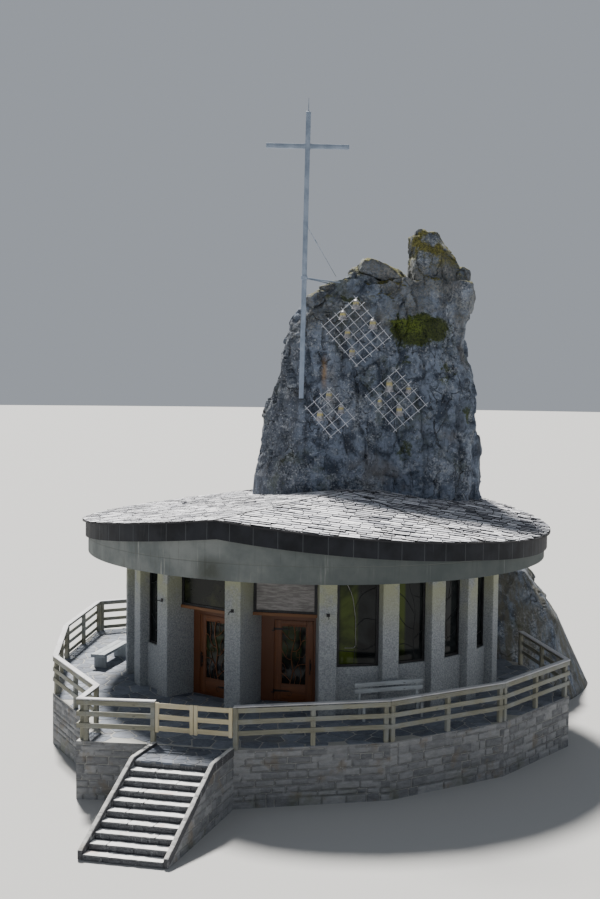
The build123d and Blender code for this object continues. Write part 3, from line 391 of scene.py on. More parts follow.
def make_stone(name, dark, pale, warm, gloss=0.86):
    """Broken stone: each stone has its own shade, with clefts, pale dust and a warm stain."""
    f = Finish(name, Roughness=gloss)
    cleft, fine = f.cloud(1.0, 7, 0.68, f.spread((7, 7, 16))), f.cloud(48, 5, 0.7)
    colour = f.coats(
        f.blend(dark, pale, f.shade() * 0.6 + cleft.rise(0.32, 0.66) * 0.4),
        (toned(pale, 1.5), fine.rise(0.56, 0.72) * 0.45),
        (warm, f.cloud(1.1, 5, 0.6).rise(0.54, 0.70) * 0.45))
    return f.cover(colour, None, cleft + fine * 0.25, 0.02)


def make_step_stone(name, top, front, stain):
    """Stone with painted light that makes it pale where it faces up, and painted shade that makes it dark,
    with pale runs, where it stands.
    """
    f = Finish(name, Roughness=0.88)
    cleft, fine = f.cloud(1.0, 7, 0.68, f.spread((7, 7, 14))), f.cloud(44, 5, 0.7)
    # painted light: the tops are made pale, with a real stain over them
    top_painted_light_and_stain = f.coats(
        f.blend(toned(top, 0.62), top, f.shade() * 0.4 + cleft.rise(0.3, 0.62) * 0.6),
        (stain, f.cloud(1.7, 4, 0.6).rise(0.58, 0.70) * 0.6))
    runs = f.cloud(1.0, 5, 0.65, f.spread((9, 9, 1.6)))
    stand = f.coats(
        f.blend(toned(front, 0.45), front, fine.rise(0.35, 0.65)),
        ((0.42, 0.43, 0.44), runs.rise(0.56, 0.68) * fine.rise(0.40, 0.6) * 0.75))
    # painted light and shade: pale where the surface faces up, dark where it stands
    return f.cover(f.blend(stand, top_painted_light_and_stain, f.upward().rise(0.35, 0.80)), None, cleft + fine * 0.3, 0.025)


def make_rubble():
    """Coursed rubble for the short walls at the rock, its stones and joints worked into the surface."""
    f = Finish("rubble", Roughness=0.92)
    bent = f.bent((2.6, 2.6, 5.6), 2.5, 3.0)
    joint = 1 - f.cells(1.0, "DISTANCE_TO_EDGE", bent).rise(0.02, 0.10)
    tone = f.axis(0, f.cells(1.0, "F1", bent, 1))
    fine = f.cloud(30, 6, 0.7)
    colour = f.blend((0.17, 0.17, 0.18), (0.42, 0.41, 0.39), tone * 0.6 + fine.rise(0.3, 0.7) * 0.4)
    return f.cover(f.blend(colour, (0.33, 0.32, 0.29), joint * 0.8), None, fine * 0.3 - joint, 0.03)


def make_terrace_stone():
    """Weathered wall stone, each stone in its own tone, with pale mortar where the shade is nothing."""
    f = Finish("terrace_stone", Roughness=0.9)
    cleft, fine = f.cloud(1.0, 7, 0.68, f.spread((4.5, 4.5, 12))), f.cloud(36, 5, 0.7)
    shade = f.shade()
    colour = f.coats(
        f.blend((0.075, 0.08, 0.092), (0.32, 0.325, 0.33), shade * 0.7 + cleft.rise(0.3, 0.7) * 0.35),
        ((0.42, 0.43, 0.43), fine.rise(0.58, 0.72) * 0.5),
        ((0.20, 0.16, 0.11), f.cloud(2.1, 4).rise(0.56, 0.68) * 0.5),
        ((0.32, 0.32, 0.30), 1 - shade.rise(0.02, 0.16)),
        ((0.10, 0.11, 0.06), f.cloud(1.3, 5).rise(0.5, 0.7) * (1 - f.axis(2).rise(0.0, 0.6)) * 0.6))
    return f.cover(colour, None, cleft + fine * 0.3, 0.02)


def make_mortar(name, dark, pale):
    """Sandy mortar, its grain in the colour and the relief."""
    f = Finish(name, Roughness=0.95)
    fine = f.cloud(26, 6, 0.7)
    return f.cover(f.blend(dark, pale, fine.rise(0.3, 0.7)), None, fine, 0.012)


roughcast = make_roughcast()
concrete = make_concrete()
limestone = make_rock()
slate = make_slate()
underlay = make_underlay()
fascia = make_fascia()
larch, silver_larch, new_larch, bench_wood, door_wood, branch_wood, lintel_wood = (
    make_timber(*values) for values in (
        ("fence_larch", (0.29, 0.285, 0.225), (0.14, 0.135, 0.10), (0.24, 0.26, 0.265), 0.82, 0.6),
        ("silver_larch", (0.52, 0.52, 0.53), (0.32, 0.32, 0.33), (0.58, 0.59, 0.61), 0.7, 0.5),
        ("new_larch", (0.62, 0.55, 0.37), (0.40, 0.34, 0.20), (0.54, 0.51, 0.43), 0.7, 0.4),
        ("bench_planks", (0.38, 0.41, 0.43), (0.20, 0.22, 0.24), (0.42, 0.46, 0.50), 0.8, 0.5),
        ("door_timber", (0.21, 0.070, 0.018), (0.085, 0.025, 0.007), (0.14, 0.045, 0.014), 0.5, 0.3),
        ("branch_timber", (0.30, 0.13, 0.06), (0.13, 0.05, 0.02), (0.24, 0.11, 0.05), 0.5, 0.3),
        ("lintel_timber", (0.27, 0.115, 0.035), (0.13, 0.05, 0.016), (0.20, 0.09, 0.035), 0.6, 0.3)))
glass = make_glass()
door_glass = make_door_glass()
transom_glass = make_transom_glass()
black_iron = make_metal("black_iron", (0.012, 0.012, 0.014), (0.035, 0.036, 0.04), 0.6, 0.35)
cross_steel = make_metal("cross_steel", (0.155, 0.195, 0.26), (0.27, 0.325, 0.41), 0.3, 0.45, 3.0)
dull_steel = make_metal("dull_steel", (0.014, 0.017, 0.022), (0.045, 0.054, 0.07), 0.2, 0.6, 5.0)
pale_lead = make_metal("pale_lead", (0.16, 0.16, 0.15), (0.32, 0.32, 0.30), 0.3, 0.5)
bright_bar = make_metal("lattice_bar", (0.42, 0.44, 0.48), (0.68, 0.70, 0.75), 0.6, 0.30)
bronze = make_bronze()
paving = make_stone("paving_slate", (0.060, 0.072, 0.10), (0.21, 0.235, 0.28), (0.15, 0.14, 0.12), 0.8)
# a darker copy of the paving slate for the landing, partly painted shade of the roof's shadow
landing_slate = make_stone(
    "landing_slate", (0.030, 0.038, 0.055), (0.13, 0.15, 0.19), (0.09, 0.09, 0.085), 0.8)
kerb_rock = make_step_stone("kerb_rock", (0.50, 0.50, 0.49), (0.10, 0.10, 0.11), (0.30, 0.27, 0.23))
tread_stone = make_step_stone("tread_stone", (0.78, 0.78, 0.77), (0.17, 0.175, 0.19), (0.60, 0.44, 0.38))
riser_stone = make_step_stone("riser_stone", (0.20, 0.20, 0.21), (0.15, 0.155, 0.17), (0.12, 0.11, 0.10))
rubble = make_rubble()
terrace_stone = make_terrace_stone()
mortar = make_mortar("mortar", (0.34, 0.34, 0.33), (0.60, 0.60, 0.58))
# a darker copy of the mortar for the landing bed, partly painted shade of the roof's shadow
dark_mortar = make_mortar("dark_mortar", (0.12, 0.125, 0.135), (0.26, 0.265, 0.275))


# Shapes

class Stock:
    """Shapes gathered for one piece. Each has its own shade; UV runs along and round it in metres."""

    def __init__(self):
        self.points, self.faces, self.spots, self.shades, self.count = [], [], [], [], 0

    def take(self, points, faces, spots, shade):
        self.points.append(points)
        self.faces += faces
        self.spots.append(spots)
        self.shades.append(np.zeros(len(points)) + shade)
        self.count += len(points)

    def skin(self, rings, shade=None, ends=True):
        """Closed rings joined in turn, with the outside facing out, and closed at the ends where asked."""
        rows, around = rings.shape[:2]
        shade = np.full((rows, around), draw.random() if shade is None else shade)
        ring = rings[rows // 2] - rings[rows // 2].mean(0)
        turning = np.cross(ring, np.roll(ring, -1, 0)).sum(0)
        if ends and turning @ (rings[-1].mean(0) - rings[0].mean(0)) < 0:
            rings, shade = rings[:, ::-1], shade[:, ::-1]
        index = self.count + np.arange(rows * around).reshape(rows, around)
        after = np.roll(index, -1, 1)
        quads = np.stack((index[:-1], after[:-1], after[1:], index[1:]), -1).reshape(-1, 4)
        steps = np.linalg.norm(np.diff(rings.mean(1), axis=0), axis=1)
        along = np.concatenate(([0.0], np.cumsum(steps)))
        girth = np.linalg.norm(np.roll(rings[rows // 2], -1, 0) - rings[rows // 2], axis=1)
        about = np.concatenate(([0.0], np.cumsum(girth)))
        u, v = np.meshgrid(along, about, indexing="ij")
        spot = np.stack((u, v), -1)
        corners = np.stack((spot[:-1, :-1], spot[:-1, 1:], spot[1:, 1:], spot[1:, :-1]), 2)
        spots = corners.reshape(-1, 2)
        faces = quads.tolist()
        if ends:
            faces += [index[0][::-1].tolist(), index[-1].tolist()]
            spots = np.concatenate((spots, spot[0, :-1][::-1] * 0.2, spot[-1, :-1] * 0.2))
        self.take(rings.reshape(-1, 3), faces, spots, shade.ravel())

    def sheet(self, grid, shade=0.5):
        """An open grid of points; its outside is where the first parameter crossed with the second points."""
        rows, columns = grid.shape[:2]
        index = self.count + np.arange(rows * columns).reshape(rows, columns)
        quads = np.stack((index[:-1, :-1], index[1:, :-1], index[1:, 1:], index[:-1, 1:]), -1).reshape(-1, 4)
        spot = np.stack(np.meshgrid(np.arange(rows), np.arange(columns), indexing="ij"), -1) * 0.03
        corners = np.stack((spot[:-1, :-1], spot[1:, :-1], spot[1:, 1:], spot[:-1, 1:]), 2)
        self.take(grid.reshape(-1, 3), quads.tolist(), corners.reshape(-1, 2), np.ravel(shade))

    def piece(self, name, material, slot, body="root", replaces=(), angle=35):
        mesh = bpy.data.meshes.new(name)
        mesh.from_pydata(np.concatenate(self.points).tolist(), [], self.faces)
        layer = mesh.uv_layers.new(name="grain")
        layer.data.foreach_set("uv", np.concatenate(self.spots).astype(np.float32).ravel())
        shades = mesh.attributes.new("shade", "FLOAT", "POINT")
        shades.data.foreach_set("value", np.concatenate(self.shades).astype(np.float32))
        mesh.shade_smooth()
        mesh.set_sharp_from_angle(angle=radians(angle))
        mesh.materials.append(material)
        thing = bpy.data.objects.new(name, mesh)
        bpy.context.scene.collection.objects.link(thing)
        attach(thing, body)
        if replaces:
            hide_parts(*replaces)
        return thing


class Place:
    """Where a straight piece is made: an origin and three square directions, along, across and up."""

    def __init__(self, origin, along, across):
        self.origin = np.array(origin, float)
        self.along, self.across = np.array(along, float), np.array(across, float)
        self.up = np.cross(self.along, self.across)

    def at(self, x, y, z):
        """Local coordinates, as arrays or numbers, put into the frame."""
        x, y, z = np.broadcast_arrays(x, y, z)
        return (self.origin + x[..., None] * self.along + y[..., None] * self.across
                + z[..., None] * self.up)

    def path(self, points):
        """Points in local coordinates put into the frame."""
        return self.at(*np.moveaxis(np.asarray(points, float), -1, 0))

    def standing(self, x=0.0, y=0.0, z=0.0):
        """A place whose way along is up, for posts."""
        return Place(self.at(x, y, z), self.up, self.along)


def level_place(x, y, z, azimuth):
    """Along +X and inwards +Y, turned about Z by an azimuth in degrees."""
    a = radians(azimuth)
    return Place((x, y, z), (cos(a), sin(a), 0), (-sin(a), cos(a), 0))


def bay_place(azimuth, middle=0.0):
    """The place of a bay: x along it, y inwards from the centre of the plan, z up from the terrace."""
    a = radians(azimuth)
    along, across = np.array((cos(a), sin(a), 0)), np.array((-sin(a), cos(a), 0))
    return Place(np.array((0, 0, TERRACE)) + along * middle, along, across)


def rounded(y0, y1, z0, z1, edge, arc=2):
    """The outline of a rectangle with rounded corners, counter-clockwise."""
    sides = []
    left, right, low, high = y0 + edge, y1 - edge, z0 + edge, z1 - edge
    for quarter, (y, z) in enumerate(((right, high), (left, high), (left, low), (right, low))):
        turns = np.linspace(0, pi / 2, arc + 1) + quarter * pi / 2
        sides.append(np.stack((y + edge * np.cos(turns), z + edge * np.sin(turns)), -1))
    return np.concatenate(sides)


def plank(stock, place, length, y, z, mitres=(0.0, 0.0), edge=0.006, start=0.0, bow=0.0):
    """A board: a rounded rectangle carried along its length, drawn in at both ends. A mitre slants an end
    by that much per metre across, and bow lifts the middle of the board a little."""
    outline = rounded(*y, *z, edge)
    middle = outline.mean(0)
    stations = np.array((0, edge, length * 0.25, length * 0.5, length * 0.75, length - edge, length))
    shrink = np.array((1 - edge / (0.5 * min(y[1] - y[0], z[1] - z[0])), 1, 1, 1, 1, 1, 1))
    shrink[-1] = shrink[0]
    across = middle[0] + (outline[None, :, 0] - middle[0]) * shrink[:, None]
    up = middle[1] + (outline[None, :, 1] - middle[1]) * shrink[:, None]
    share = stations / length
    near, far = across * mitres[0], -across * mitres[1]
    x = start + stations[:, None] + near * (1 - share[:, None]) + far * share[:, None]
    up = up + bow * np.sin(pi * share)[:, None]
    stock.skin(place.at(x, across, up))


def smooth_line(points, count, closed=False):
    """A Catmull-Rom curve through points, as an array of evenly shared parameters."""
    points = np.asarray(points, float)
    many = len(points)
    t = np.linspace(0, many if closed else many - 1, count, endpoint=not closed)
    base = np.minimum(t.astype(int), many - 1 if closed else many - 2)
    part = (t - base).reshape((-1,) + (1,) * (points.ndim - 1))
    pick = (lambda shift: points[(base + shift) % many]) if closed else (
        lambda shift: points[np.clip(base + shift, 0, many - 1)])
    a, b, c, d = pick(-1), pick(0), pick(1), pick(2)
    return 0.5 * (2 * b + (c - a) * part + (2 * a - 5 * b + 4 * c - d) * part ** 2
                  + (3 * b - a - 3 * c + d) * part ** 3)


def tube(stock, path, radius, sides=8, flat=1.0):
    """A round bar along a path: circles square to it, flattened along the second way where asked."""
    path = np.asarray(path, float)
    along = np.gradient(path, axis=0)
    along /= np.linalg.norm(along, axis=1)[:, None]
    helper = np.where(np.abs(along[:, 2:]) > 0.9, (1.0, 0.0, 0.0), (0.0, 0.0, 1.0))
    first = np.cross(helper, along)
    first /= np.linalg.norm(first, axis=1)[:, None]
    second = np.cross(along, first)
    turn = np.arange(sides) * 2 * pi / sides
    radius = np.broadcast_to(radius, len(path))[:, None, None]
    rings = path[:, None] + radius * (
        np.cos(turn)[None, :, None] * first[:, None] + flat * np.sin(turn)[None, :, None] * second[:, None])
    stock.skin(rings)


def hashed(cells, salt):
    """A steady number from 0 to 1 for each whole-number cell: the fraction of a large sine of it."""
    mixed = cells @ np.array((127.1, 311.7, 74.7)) + salt * 53.31
    return np.abs(np.sin(mixed) * 43758.5453) % 1.0


def swelling(points, size, salt):
    """Soft noise from 0 to 1: cell corners' numbers, joined by a smooth rise along each axis."""
    scaled = points / size
    base = np.floor(scaled)
    part = scaled - base
    part = part * part * (3 - 2 * part)
    total = 0.0
    for corner in np.ndindex(2, 2, 2):
        weight = np.prod(np.where(np.array(corner), part, 1 - part), axis=-1)
        total = total + weight * hashed(base + np.array(corner), salt)
    return total


def layered(points, size, salt, layers=4):
    """Noise about 0, each layer half the size and half the strength of the last."""
    return sum((swelling(points, size / 2 ** n, salt + n) - 0.5) / 2 ** n for n in range(layers))


def broken(points, size, salt):
    """Broken faces: each point takes the tilt and the step of its nearest seed. Also the distance to the
    next seed less that to the nearest, which is 0 on a crack."""
    scaled = points / size
    base = np.floor(scaled)
    nearest = np.full(len(points), 9.0)
    second = nearest.copy()
    seed_of = np.zeros_like(points)
    away = np.zeros_like(points)
    for shift in np.ndindex(3, 3, 3):
        cell = base + np.array(shift) - 1
        seed = cell + np.stack([hashed(cell, salt + n) for n in (1, 2, 3)], -1)
        gap = scaled - seed
        distance = np.linalg.norm(gap, axis=1)
        closer = distance < nearest
        second = np.where(closer, nearest, np.minimum(second, distance))
        nearest = np.where(closer, distance, nearest)
        seed_of[closer] = cell[closer]
        away[closer] = gap[closer]
    tilt = np.stack([hashed(seed_of, salt + n) - 0.5 for n in (4, 5, 6)], -1)
    return (hashed(seed_of, salt + 7) - 0.5) + (tilt * away).sum(1) * 1.6, (second - nearest)


# Camera, light and floor

SEAT = (0.0, -35.953, 8.622 + TERRACE)
YAW, PITCH, ROLL = -0.01408, 0.05779, 0.01194
FOCAL, PICTURE_H, SENSOR = 1200, 899, 36.0
SUN_WAY = (0.24, -0.72, -1.0)
FLOOR_R, FLOOR_SIDES = 400, 96


def make_camera():
    """The photograph's camera, from its place, its turns and its focal length in pixels."""
    ahead = np.array((sin(YAW) * cos(PITCH), cos(YAW) * cos(PITCH), -sin(PITCH)))
    right = np.array((cos(YAW), -sin(YAW), 0.0))
    up = np.cross(right, ahead)
    camera = bpy.data.cameras.new("view")
    camera.sensor_fit = "VERTICAL"
    camera.sensor_height = SENSOR
    camera.lens = FOCAL * SENSOR / PICTURE_H
    camera.clip_end = 2000
    matrix = np.eye(4)
    matrix[:3, 0] = right * cos(ROLL) + up * sin(ROLL)
    matrix[:3, 1] = up * cos(ROLL) - right * sin(ROLL)
    matrix[:3, 2] = -ahead
    matrix[:3, 3] = SEAT
    seat = bpy.data.objects.new("view", camera)
    seat.matrix_world = matrix.T.tolist()
    bpy.context.scene.collection.objects.link(seat)
    bpy.context.scene.camera = seat


def make_light():
    """A wide soft sun from behind on the left, and plain fill light."""
    sun = bpy.data.lights.new("soft_sun", "SUN")
    sun.energy = 12.5
    sun.angle = radians(7)
    sun.color = (1.0, 0.97, 0.92)
    lamp = bpy.data.objects.new("soft_sun", sun)
    lamp.rotation_euler = Vector(SUN_WAY).to_track_quat("-Z", "Y").to_euler()
    bpy.context.scene.collection.objects.link(lamp)
    world = bpy.data.worlds.new("studio")
    world.use_nodes = True
    fill = world.node_tree.nodes["Background"].inputs
    fill["Color"].default_value = (0.80, 0.86, 0.95, 1)
    fill["Strength"].default_value = 0.42
    bpy.context.scene.world = world


def make_floor():
    """A pale round floor."""
    turn = np.arange(FLOOR_SIDES) * 2 * pi / FLOOR_SIDES
    ring = np.stack((FLOOR_R * np.cos(turn), FLOOR_R * np.sin(turn), np.zeros(FLOOR_SIDES)), -1)
    ground = bpy.data.meshes.new("floor")
    ground.from_pydata(ring.tolist(), [], [list(range(FLOOR_SIDES))])
    ground.materials.append(Finish("floor_paint", Roughness=0.9).cover((0.37, 0.37, 0.365)))
    floor = bpy.data.objects.new("floor", ground)
    bpy.context.scene.collection.objects.link(floor)


# Rock

ROCK_PLAN = np.array((
    (-1.0, -0.3), (-0.74, -0.9), (-0.32, -1.0), (0.12, -0.88), (0.52, -1.0), (0.88, -0.72),
    (1.0, -0.1), (0.9, 0.6), (0.5, 0.95), (0.0, 0.88), (-0.5, 1.0), (-0.92, 0.5)))
# Height above the terrace, left, right, front and back of the rock
ROCK_BODY = (
    (-1.4, -2.8, 9.0, 0.7, 7.9), (0.9, -2.65, 8.05, 1.3, 7.5), (2.5, -2.4, 7.05, 1.7, 7.0),
    (4.4, -2.2, 5.25, 1.85, 6.5), (6.0, -1.9, 5.16, 1.9, 6.1), (7.6, -1.75, 5.16, 2.0, 5.8),
    (8.9, -1.46, 4.95, 2.1, 5.5), (9.8, -1.2, 4.70, 2.2, 5.3), (10.7, -0.77, 5.06, 2.35, 5.1),
    (11.8, 0.06, 5.04, 2.6, 4.8))
SHOULDER = ((11.2, 0.2, 3.1, 2.6, 4.7), (11.6, 0.3, 2.9, 2.7, 4.6), (11.95, 0.9, 2.75, 2.9, 4.3))
PINNACLE = ((11.2, 2.8, 5.05, 2.5, 4.9), (11.6, 2.88, 5.0, 2.6, 4.8), (12.55, 2.93, 4.42, 2.8, 4.5),
            (13.42, 3.08, 3.82, 3.1, 4.1))

# Long cracks down the front of the rock: places across and heights above the terrace
CRACKS = (
    ((2.75, 11.4), (2.45, 10.4), (2.60, 9.4), (2.35, 8.6), (2.62, 7.4), (2.70, 5.6)),
    ((3.85, 12.6), (4.35, 10.8), (4.10, 9.7), (4.02, 8.6), (4.30, 7.4), (4.40, 5.6)),
    ((0.95, 9.3), (1.25, 8.2), (1.15, 7.4), (1.55, 6.8), (1.70, 5.6)),
    ((-0.20, 10.6), (-0.30, 9.4), (0.05, 8.1), (-0.15, 6.9), (-0.60, 5.6)),
    ((3.25, 10.3), (3.40, 9.0), (3.15, 8.0), (3.45, 6.8), (3.30, 5.6)),
)


def rock_relief(flat, strength):
    """How far the rock stands out at its points: tall broken faces and small ones, soft swellings, fine
    roughness, bedding ledges, long cracks by their distance across, and a groove left of the middle."""
    big, big_edge = broken(flat * np.array((1, 1, 0.40)), 1.55, 3)
    small, small_edge = broken(flat * np.array((1, 1, 0.62)) + 7.7, 0.50, 11)
    ragged = flat[:, 0] + 0.22 * layered(flat, 0.7, 71, 3)
    push = 0.25 * big + 0.11 * small + 0.24 * layered(flat, 2.4, 21, 5) + 0.07 * layered(flat, 0.26, 31, 3)
    open_edge = np.clip((swelling(flat, 1.3, 61) - 0.52) * 5, 0, 1)
    push -= 0.10 * open_edge * np.exp(-big_edge / 0.035) + 0.03 * open_edge * np.exp(-small_edge / 0.05)
    level = flat[:, 2] + 0.5 * flat[:, 0] * 0.25 + 0.4 * layered(flat, 1.6, 81, 2)
    bed = np.abs((level / 1.45) % 1.0 - 0.5)
    push -= 0.06 * np.exp(-(0.5 - bed) / 0.02) * np.clip((swelling(flat, 1.1, 91) - 0.45) * 4, 0, 1)
    front = np.clip((3.4 - flat[:, 1]) / 0.4, 0, 1)
    for crack in CRACKS:
        across, heights = np.array(crack)[::-1].T
        high = flat[:, 2] - TERRACE
        reach = np.clip((high - heights[0]) / 0.3, 0, 1) * np.clip((heights[-1] - high) / 0.3, 0, 1)
        off = ragged - np.interp(high, heights, across)
        lip = 0.05 * np.exp(-np.abs(off - 0.3) / 0.2)
        push -= front * reach * (0.17 * np.exp(-np.abs(off) / 0.045) - lip)
    groove = np.clip(1 - np.abs(ragged - 0.18) / 0.34, 0, 1)
    groove = groove * np.clip(1 - np.abs(flat[:, 2] - 10.3) / 0.7, 0, 1)
    return (push - 0.16 * front * groove ** 0.7) * strength


def rock_surface(levels, first, around, up, strength=1.0):
    """A rock of two parameters, round and up: through the plans' corners at every level runs a line halfway
    between straight and smooth, pushed along the way from the middle by the relief."""
    plans = []
    for number, (height, left, right, front, back) in enumerate(levels):
        swell = 1 + 0.03 * np.sin(2.3 * np.arange(12) + 1.7 * (first + number))
        x = (left + right) / 2 + swell * ROCK_PLAN[:, 0] * (right - left) / 2
        y = (front + back) / 2 + swell * ROCK_PLAN[:, 1] * (back - front) / 2
        plans.append(np.stack((x, y, np.full(12, TERRACE + height)), -1))
    plans = np.array(plans)
    heights = plans[:, 0, 2]
    fine = np.linspace(heights[0], heights[-1], up)
    columns = np.stack([
        np.stack([np.interp(fine, heights, plans[:, c, axis]) for axis in (0, 1)], -1) for c in range(12)])
    smooth = smooth_line(columns, around, closed=True)
    turn = np.linspace(0, 12, around, endpoint=False)
    base = turn.astype(int)
    part = (turn - base)[:, None, None]
    straight = columns[base] * (1 - part) + columns[(base + 1) % 12] * part
    rings = (0.5 * smooth + 0.5 * straight).transpose(1, 0, 2)
    points = np.concatenate((rings, np.broadcast_to(fine[:, None, None], rings.shape[:2] + (1,))), -1)
    flat = points.reshape(-1, 3)
    push = rock_relief(flat, strength)
    covered = 1 - np.clip((flat[:, 2] - 6.9) / 0.8, 0, 1)
    push = push * (1 - covered) + (np.maximum(push, -0.02) * 0.8 + 0.07) * covered
    low = np.clip((3.0 - flat[:, 2]) / 1.6, 0, 1)
    push = push * (1 - low) + np.minimum(push, 0.05) * 0.5 * low
    away = points - points.mean(1, keepdims=True)
    away[..., 2] = 0
    away /= np.linalg.norm(away, axis=2, keepdims=True)
    points = points + away * push.reshape(up, around, 1)
    crest = np.clip((points[..., 2] - heights[-1] + 0.5) / 0.5, 0, 1) * strength
    points[..., 2] += crest * 0.55 * layered(flat * (1, 1, 0), 1.0, 87, 4).reshape(up, around)
    points[0, :, 2] = heights[0]
    return points


def topped(points, rows, sag, salt):
    """The same surface with its top closed by rings that shrink to the middle over an uneven crown."""
    last = points[-1]
    middle = last.mean(0)
    share = np.linspace(0, 1, rows + 1)[1:, None, None] * 0.985
    rings = last * (1 - share) + middle * share
    lift = layered(rings.reshape(-1, 3), 0.9, salt, 4).reshape(rings.shape[:2])
    step = broken(rings.reshape(-1, 3), 0.7, salt + 5)[0].reshape(lift.shape)
    rise = sag * np.sin(share[..., 0] * pi / 2)
    rings[..., 2] += rise + (0.22 * lift + 0.12 * step) * np.minimum(1, share[..., 0] * 4)
    return np.concatenate((points, rings))


def boulder(stock, middle, half, tilt, salt):
    """A broken block: over the sphere of directions, the distance at which a way meets the first of its
    faces, with the edges softened by a high power; then fine roughness along the way."""
    generator = np.random.default_rng(salt)
    normals = generator.normal(0, 1, (9, 3))
    normals = np.concatenate((normals / np.linalg.norm(normals, axis=1)[:, None], np.eye(3), -np.eye(3)))
    depths = np.concatenate((generator.uniform(0.86, 1.12, 9), np.ones(6)))
    down, turn = np.meshgrid(np.linspace(0.03, pi - 0.03, 30), np.arange(44) * 2 * pi / 44, indexing="ij")
    way = np.stack((np.sin(down) * np.cos(turn), np.sin(down) * np.sin(turn), -np.cos(down)), -1)
    facing = np.maximum(0, way @ normals.T / depths)
    reach = (facing ** 22).sum(-1) ** (-1 / 22)
    points = way * reach[..., None] * np.array(half)
    a, b = radians(tilt[0]), radians(tilt[1])
    roll = np.array(((cos(a), 0, sin(a)), (0, 1, 0), (-sin(a), 0, cos(a))))
    spin = np.array(((cos(b), -sin(b), 0), (sin(b), cos(b), 0), (0, 0, 1)))
    points = points @ (spin @ roll).T + np.array(middle)
    flat = points.reshape(-1, 3)
    rough = 0.08 * layered(flat, 0.45, salt, 4) + 0.05 * broken(flat, 0.3, salt)[0]
    away = points - np.array(middle)
    away /= np.linalg.norm(away, axis=2, keepdims=True)
    stock.skin(points + away * rough.reshape(down.shape)[..., None], 0.5)


# Loose blocks on the shoulder: middle (height above the terrace), half sizes, tilt down to the right and turn
BLOCKS = (
    ((2.06, 3.2, 12.10), (0.76, 0.60, 0.27), (21, 8)), ((1.06, 3.1, 11.80), (0.22, 0.3, 0.32), (-6, 20)),
    ((1.62, 3.6, 12.28), (0.36, 0.40, 0.22), (-14, -10)), ((0.05, 3.0, 11.30), (0.42, 0.4, 0.26), (-24, 14)),
    ((2.55, 3.0, 11.45), (0.34, 0.4, 0.42), (12, -15)), ((1.72, 2.95, 11.45), (0.42, 0.34, 0.22), (-10, 12)),
    ((0.45, 3.1, 11.62), (0.46, 0.44, 0.17), (-12, -6)), ((1.45, 3.5, 12.15), (0.40, 0.44, 0.28), (-24, 30)),
    ((3.28, 3.5, 13.08), (0.34, 0.42, 0.26), (-8, 10)), ((3.85, 3.5, 12.82), (0.40, 0.45, 0.28), (34, -12)),
    ((4.52, 3.4, 11.95), (0.42, 0.5, 0.40), (30, 8)), ((4.55, 3.0, 11.3), (0.44, 0.42, 0.55), (10, -20)),
)


def make_the_rock():
    stock = Stock()
    stock.skin(topped(rock_surface(ROCK_BODY, 0, 290, 300), 20, -0.1, 41), 0.5)
    stock.piece("rock_body", limestone, "rock", replaces=("rock",), angle=38)
    stock = Stock()
    stock.skin(topped(rock_surface(SHOULDER, 3, 150, 60, 0.55), 18, 0.0, 47), 0.5)
    stock.skin(topped(rock_surface(PINNACLE, 5, 150, 90, 0.50), 18, 0.0, 53), 0.5)
    for number, (middle, half, tilt) in enumerate(BLOCKS):
        boulder(stock, np.array(middle) + (0, 0, TERRACE), half, tilt, 200 + number)
    stock.piece("rock_tops", limestone, "rock", replaces=("rock",), angle=38)


# Roof

def trimmed(outline, normal, limit):
    """The part of a convex outline where its product with a normal is under a limit."""
    side = outline @ normal - limit
    if (side <= 0).all():
        return outline
    kept = []
    for here, there, before, after in zip(outline, np.roll(outline, -1, 0), side, np.roll(side, -1)):
        if before <= 0:
            kept.append(here)
        if before * after < 0:
            kept.append(here + (there - here) * before / (before - after))
    return np.array(kept) if len(kept) > 2 else None


def drawn_in(outline, amount):
    """An outline moved towards its middle, less where it is near."""
    middle = outline.mean(0)
    away = outline - middle
    reach = np.linalg.norm(away, axis=1, keepdims=True)
    return middle + away * np.maximum(0.3, 1 - amount / np.maximum(reach, 1e-6))


def facet_height(number, x, y):
    slope = FACETS[number]
    return APEX[2] + slope[0] * (x - APEX[0]) + slope[1] * (y - APEX[1])


# The depth of a course, the gaps beside a slate and at a hip, and how far each facet's courses are turned
COURSE, SLATE_GAP, HIP_GAP = 0.31, 0.011, 0.068
COURSE_TURNS = (6, -5, -9, 3)
PEAK = np.array(APEX[:2])


def on_facet(number, middle):
    """Whether a slate's middle is on the roof, outside the rock, and on a facet or just past its edge."""
    if hypot(*middle) > SLATE_R + 0.3 or (-1.2 < middle[0] < 4.6 and middle[1] > 3.4):
        return False
    heights = [facet_height(other, *middle) for other in range(4)]
    return heights[number] <= min(heights) + 0.06


def slate_plan(number, fall, foot, slip, left, right):
    """The plan of a slate: a ragged tail, straight sides and a head, trimmed at the hips."""
    level = np.array((-fall[1], fall[0]))
    across = np.linspace(left, right, 5)
    tails = foot + slip + 0.03 + draw.normal(0, 0.014, 5)
    head = foot - COURSE - 0.05
    local = list(zip(across, tails)) + [(right, head), (left, head)]
    outline = np.array([PEAK + level * a + fall * t for a, t in local])
    if np.cross(outline[1] - outline[0], outline[-1] - outline[0]) < 0:
        outline = outline[::-1]
    for other in range(4):
        if other != number and outline is not None:
            change = np.array(FACETS[number]) - np.array(FACETS[other])
            outline = trimmed(outline, change, change @ PEAK - HIP_GAP * hypot(*change))
    return outline


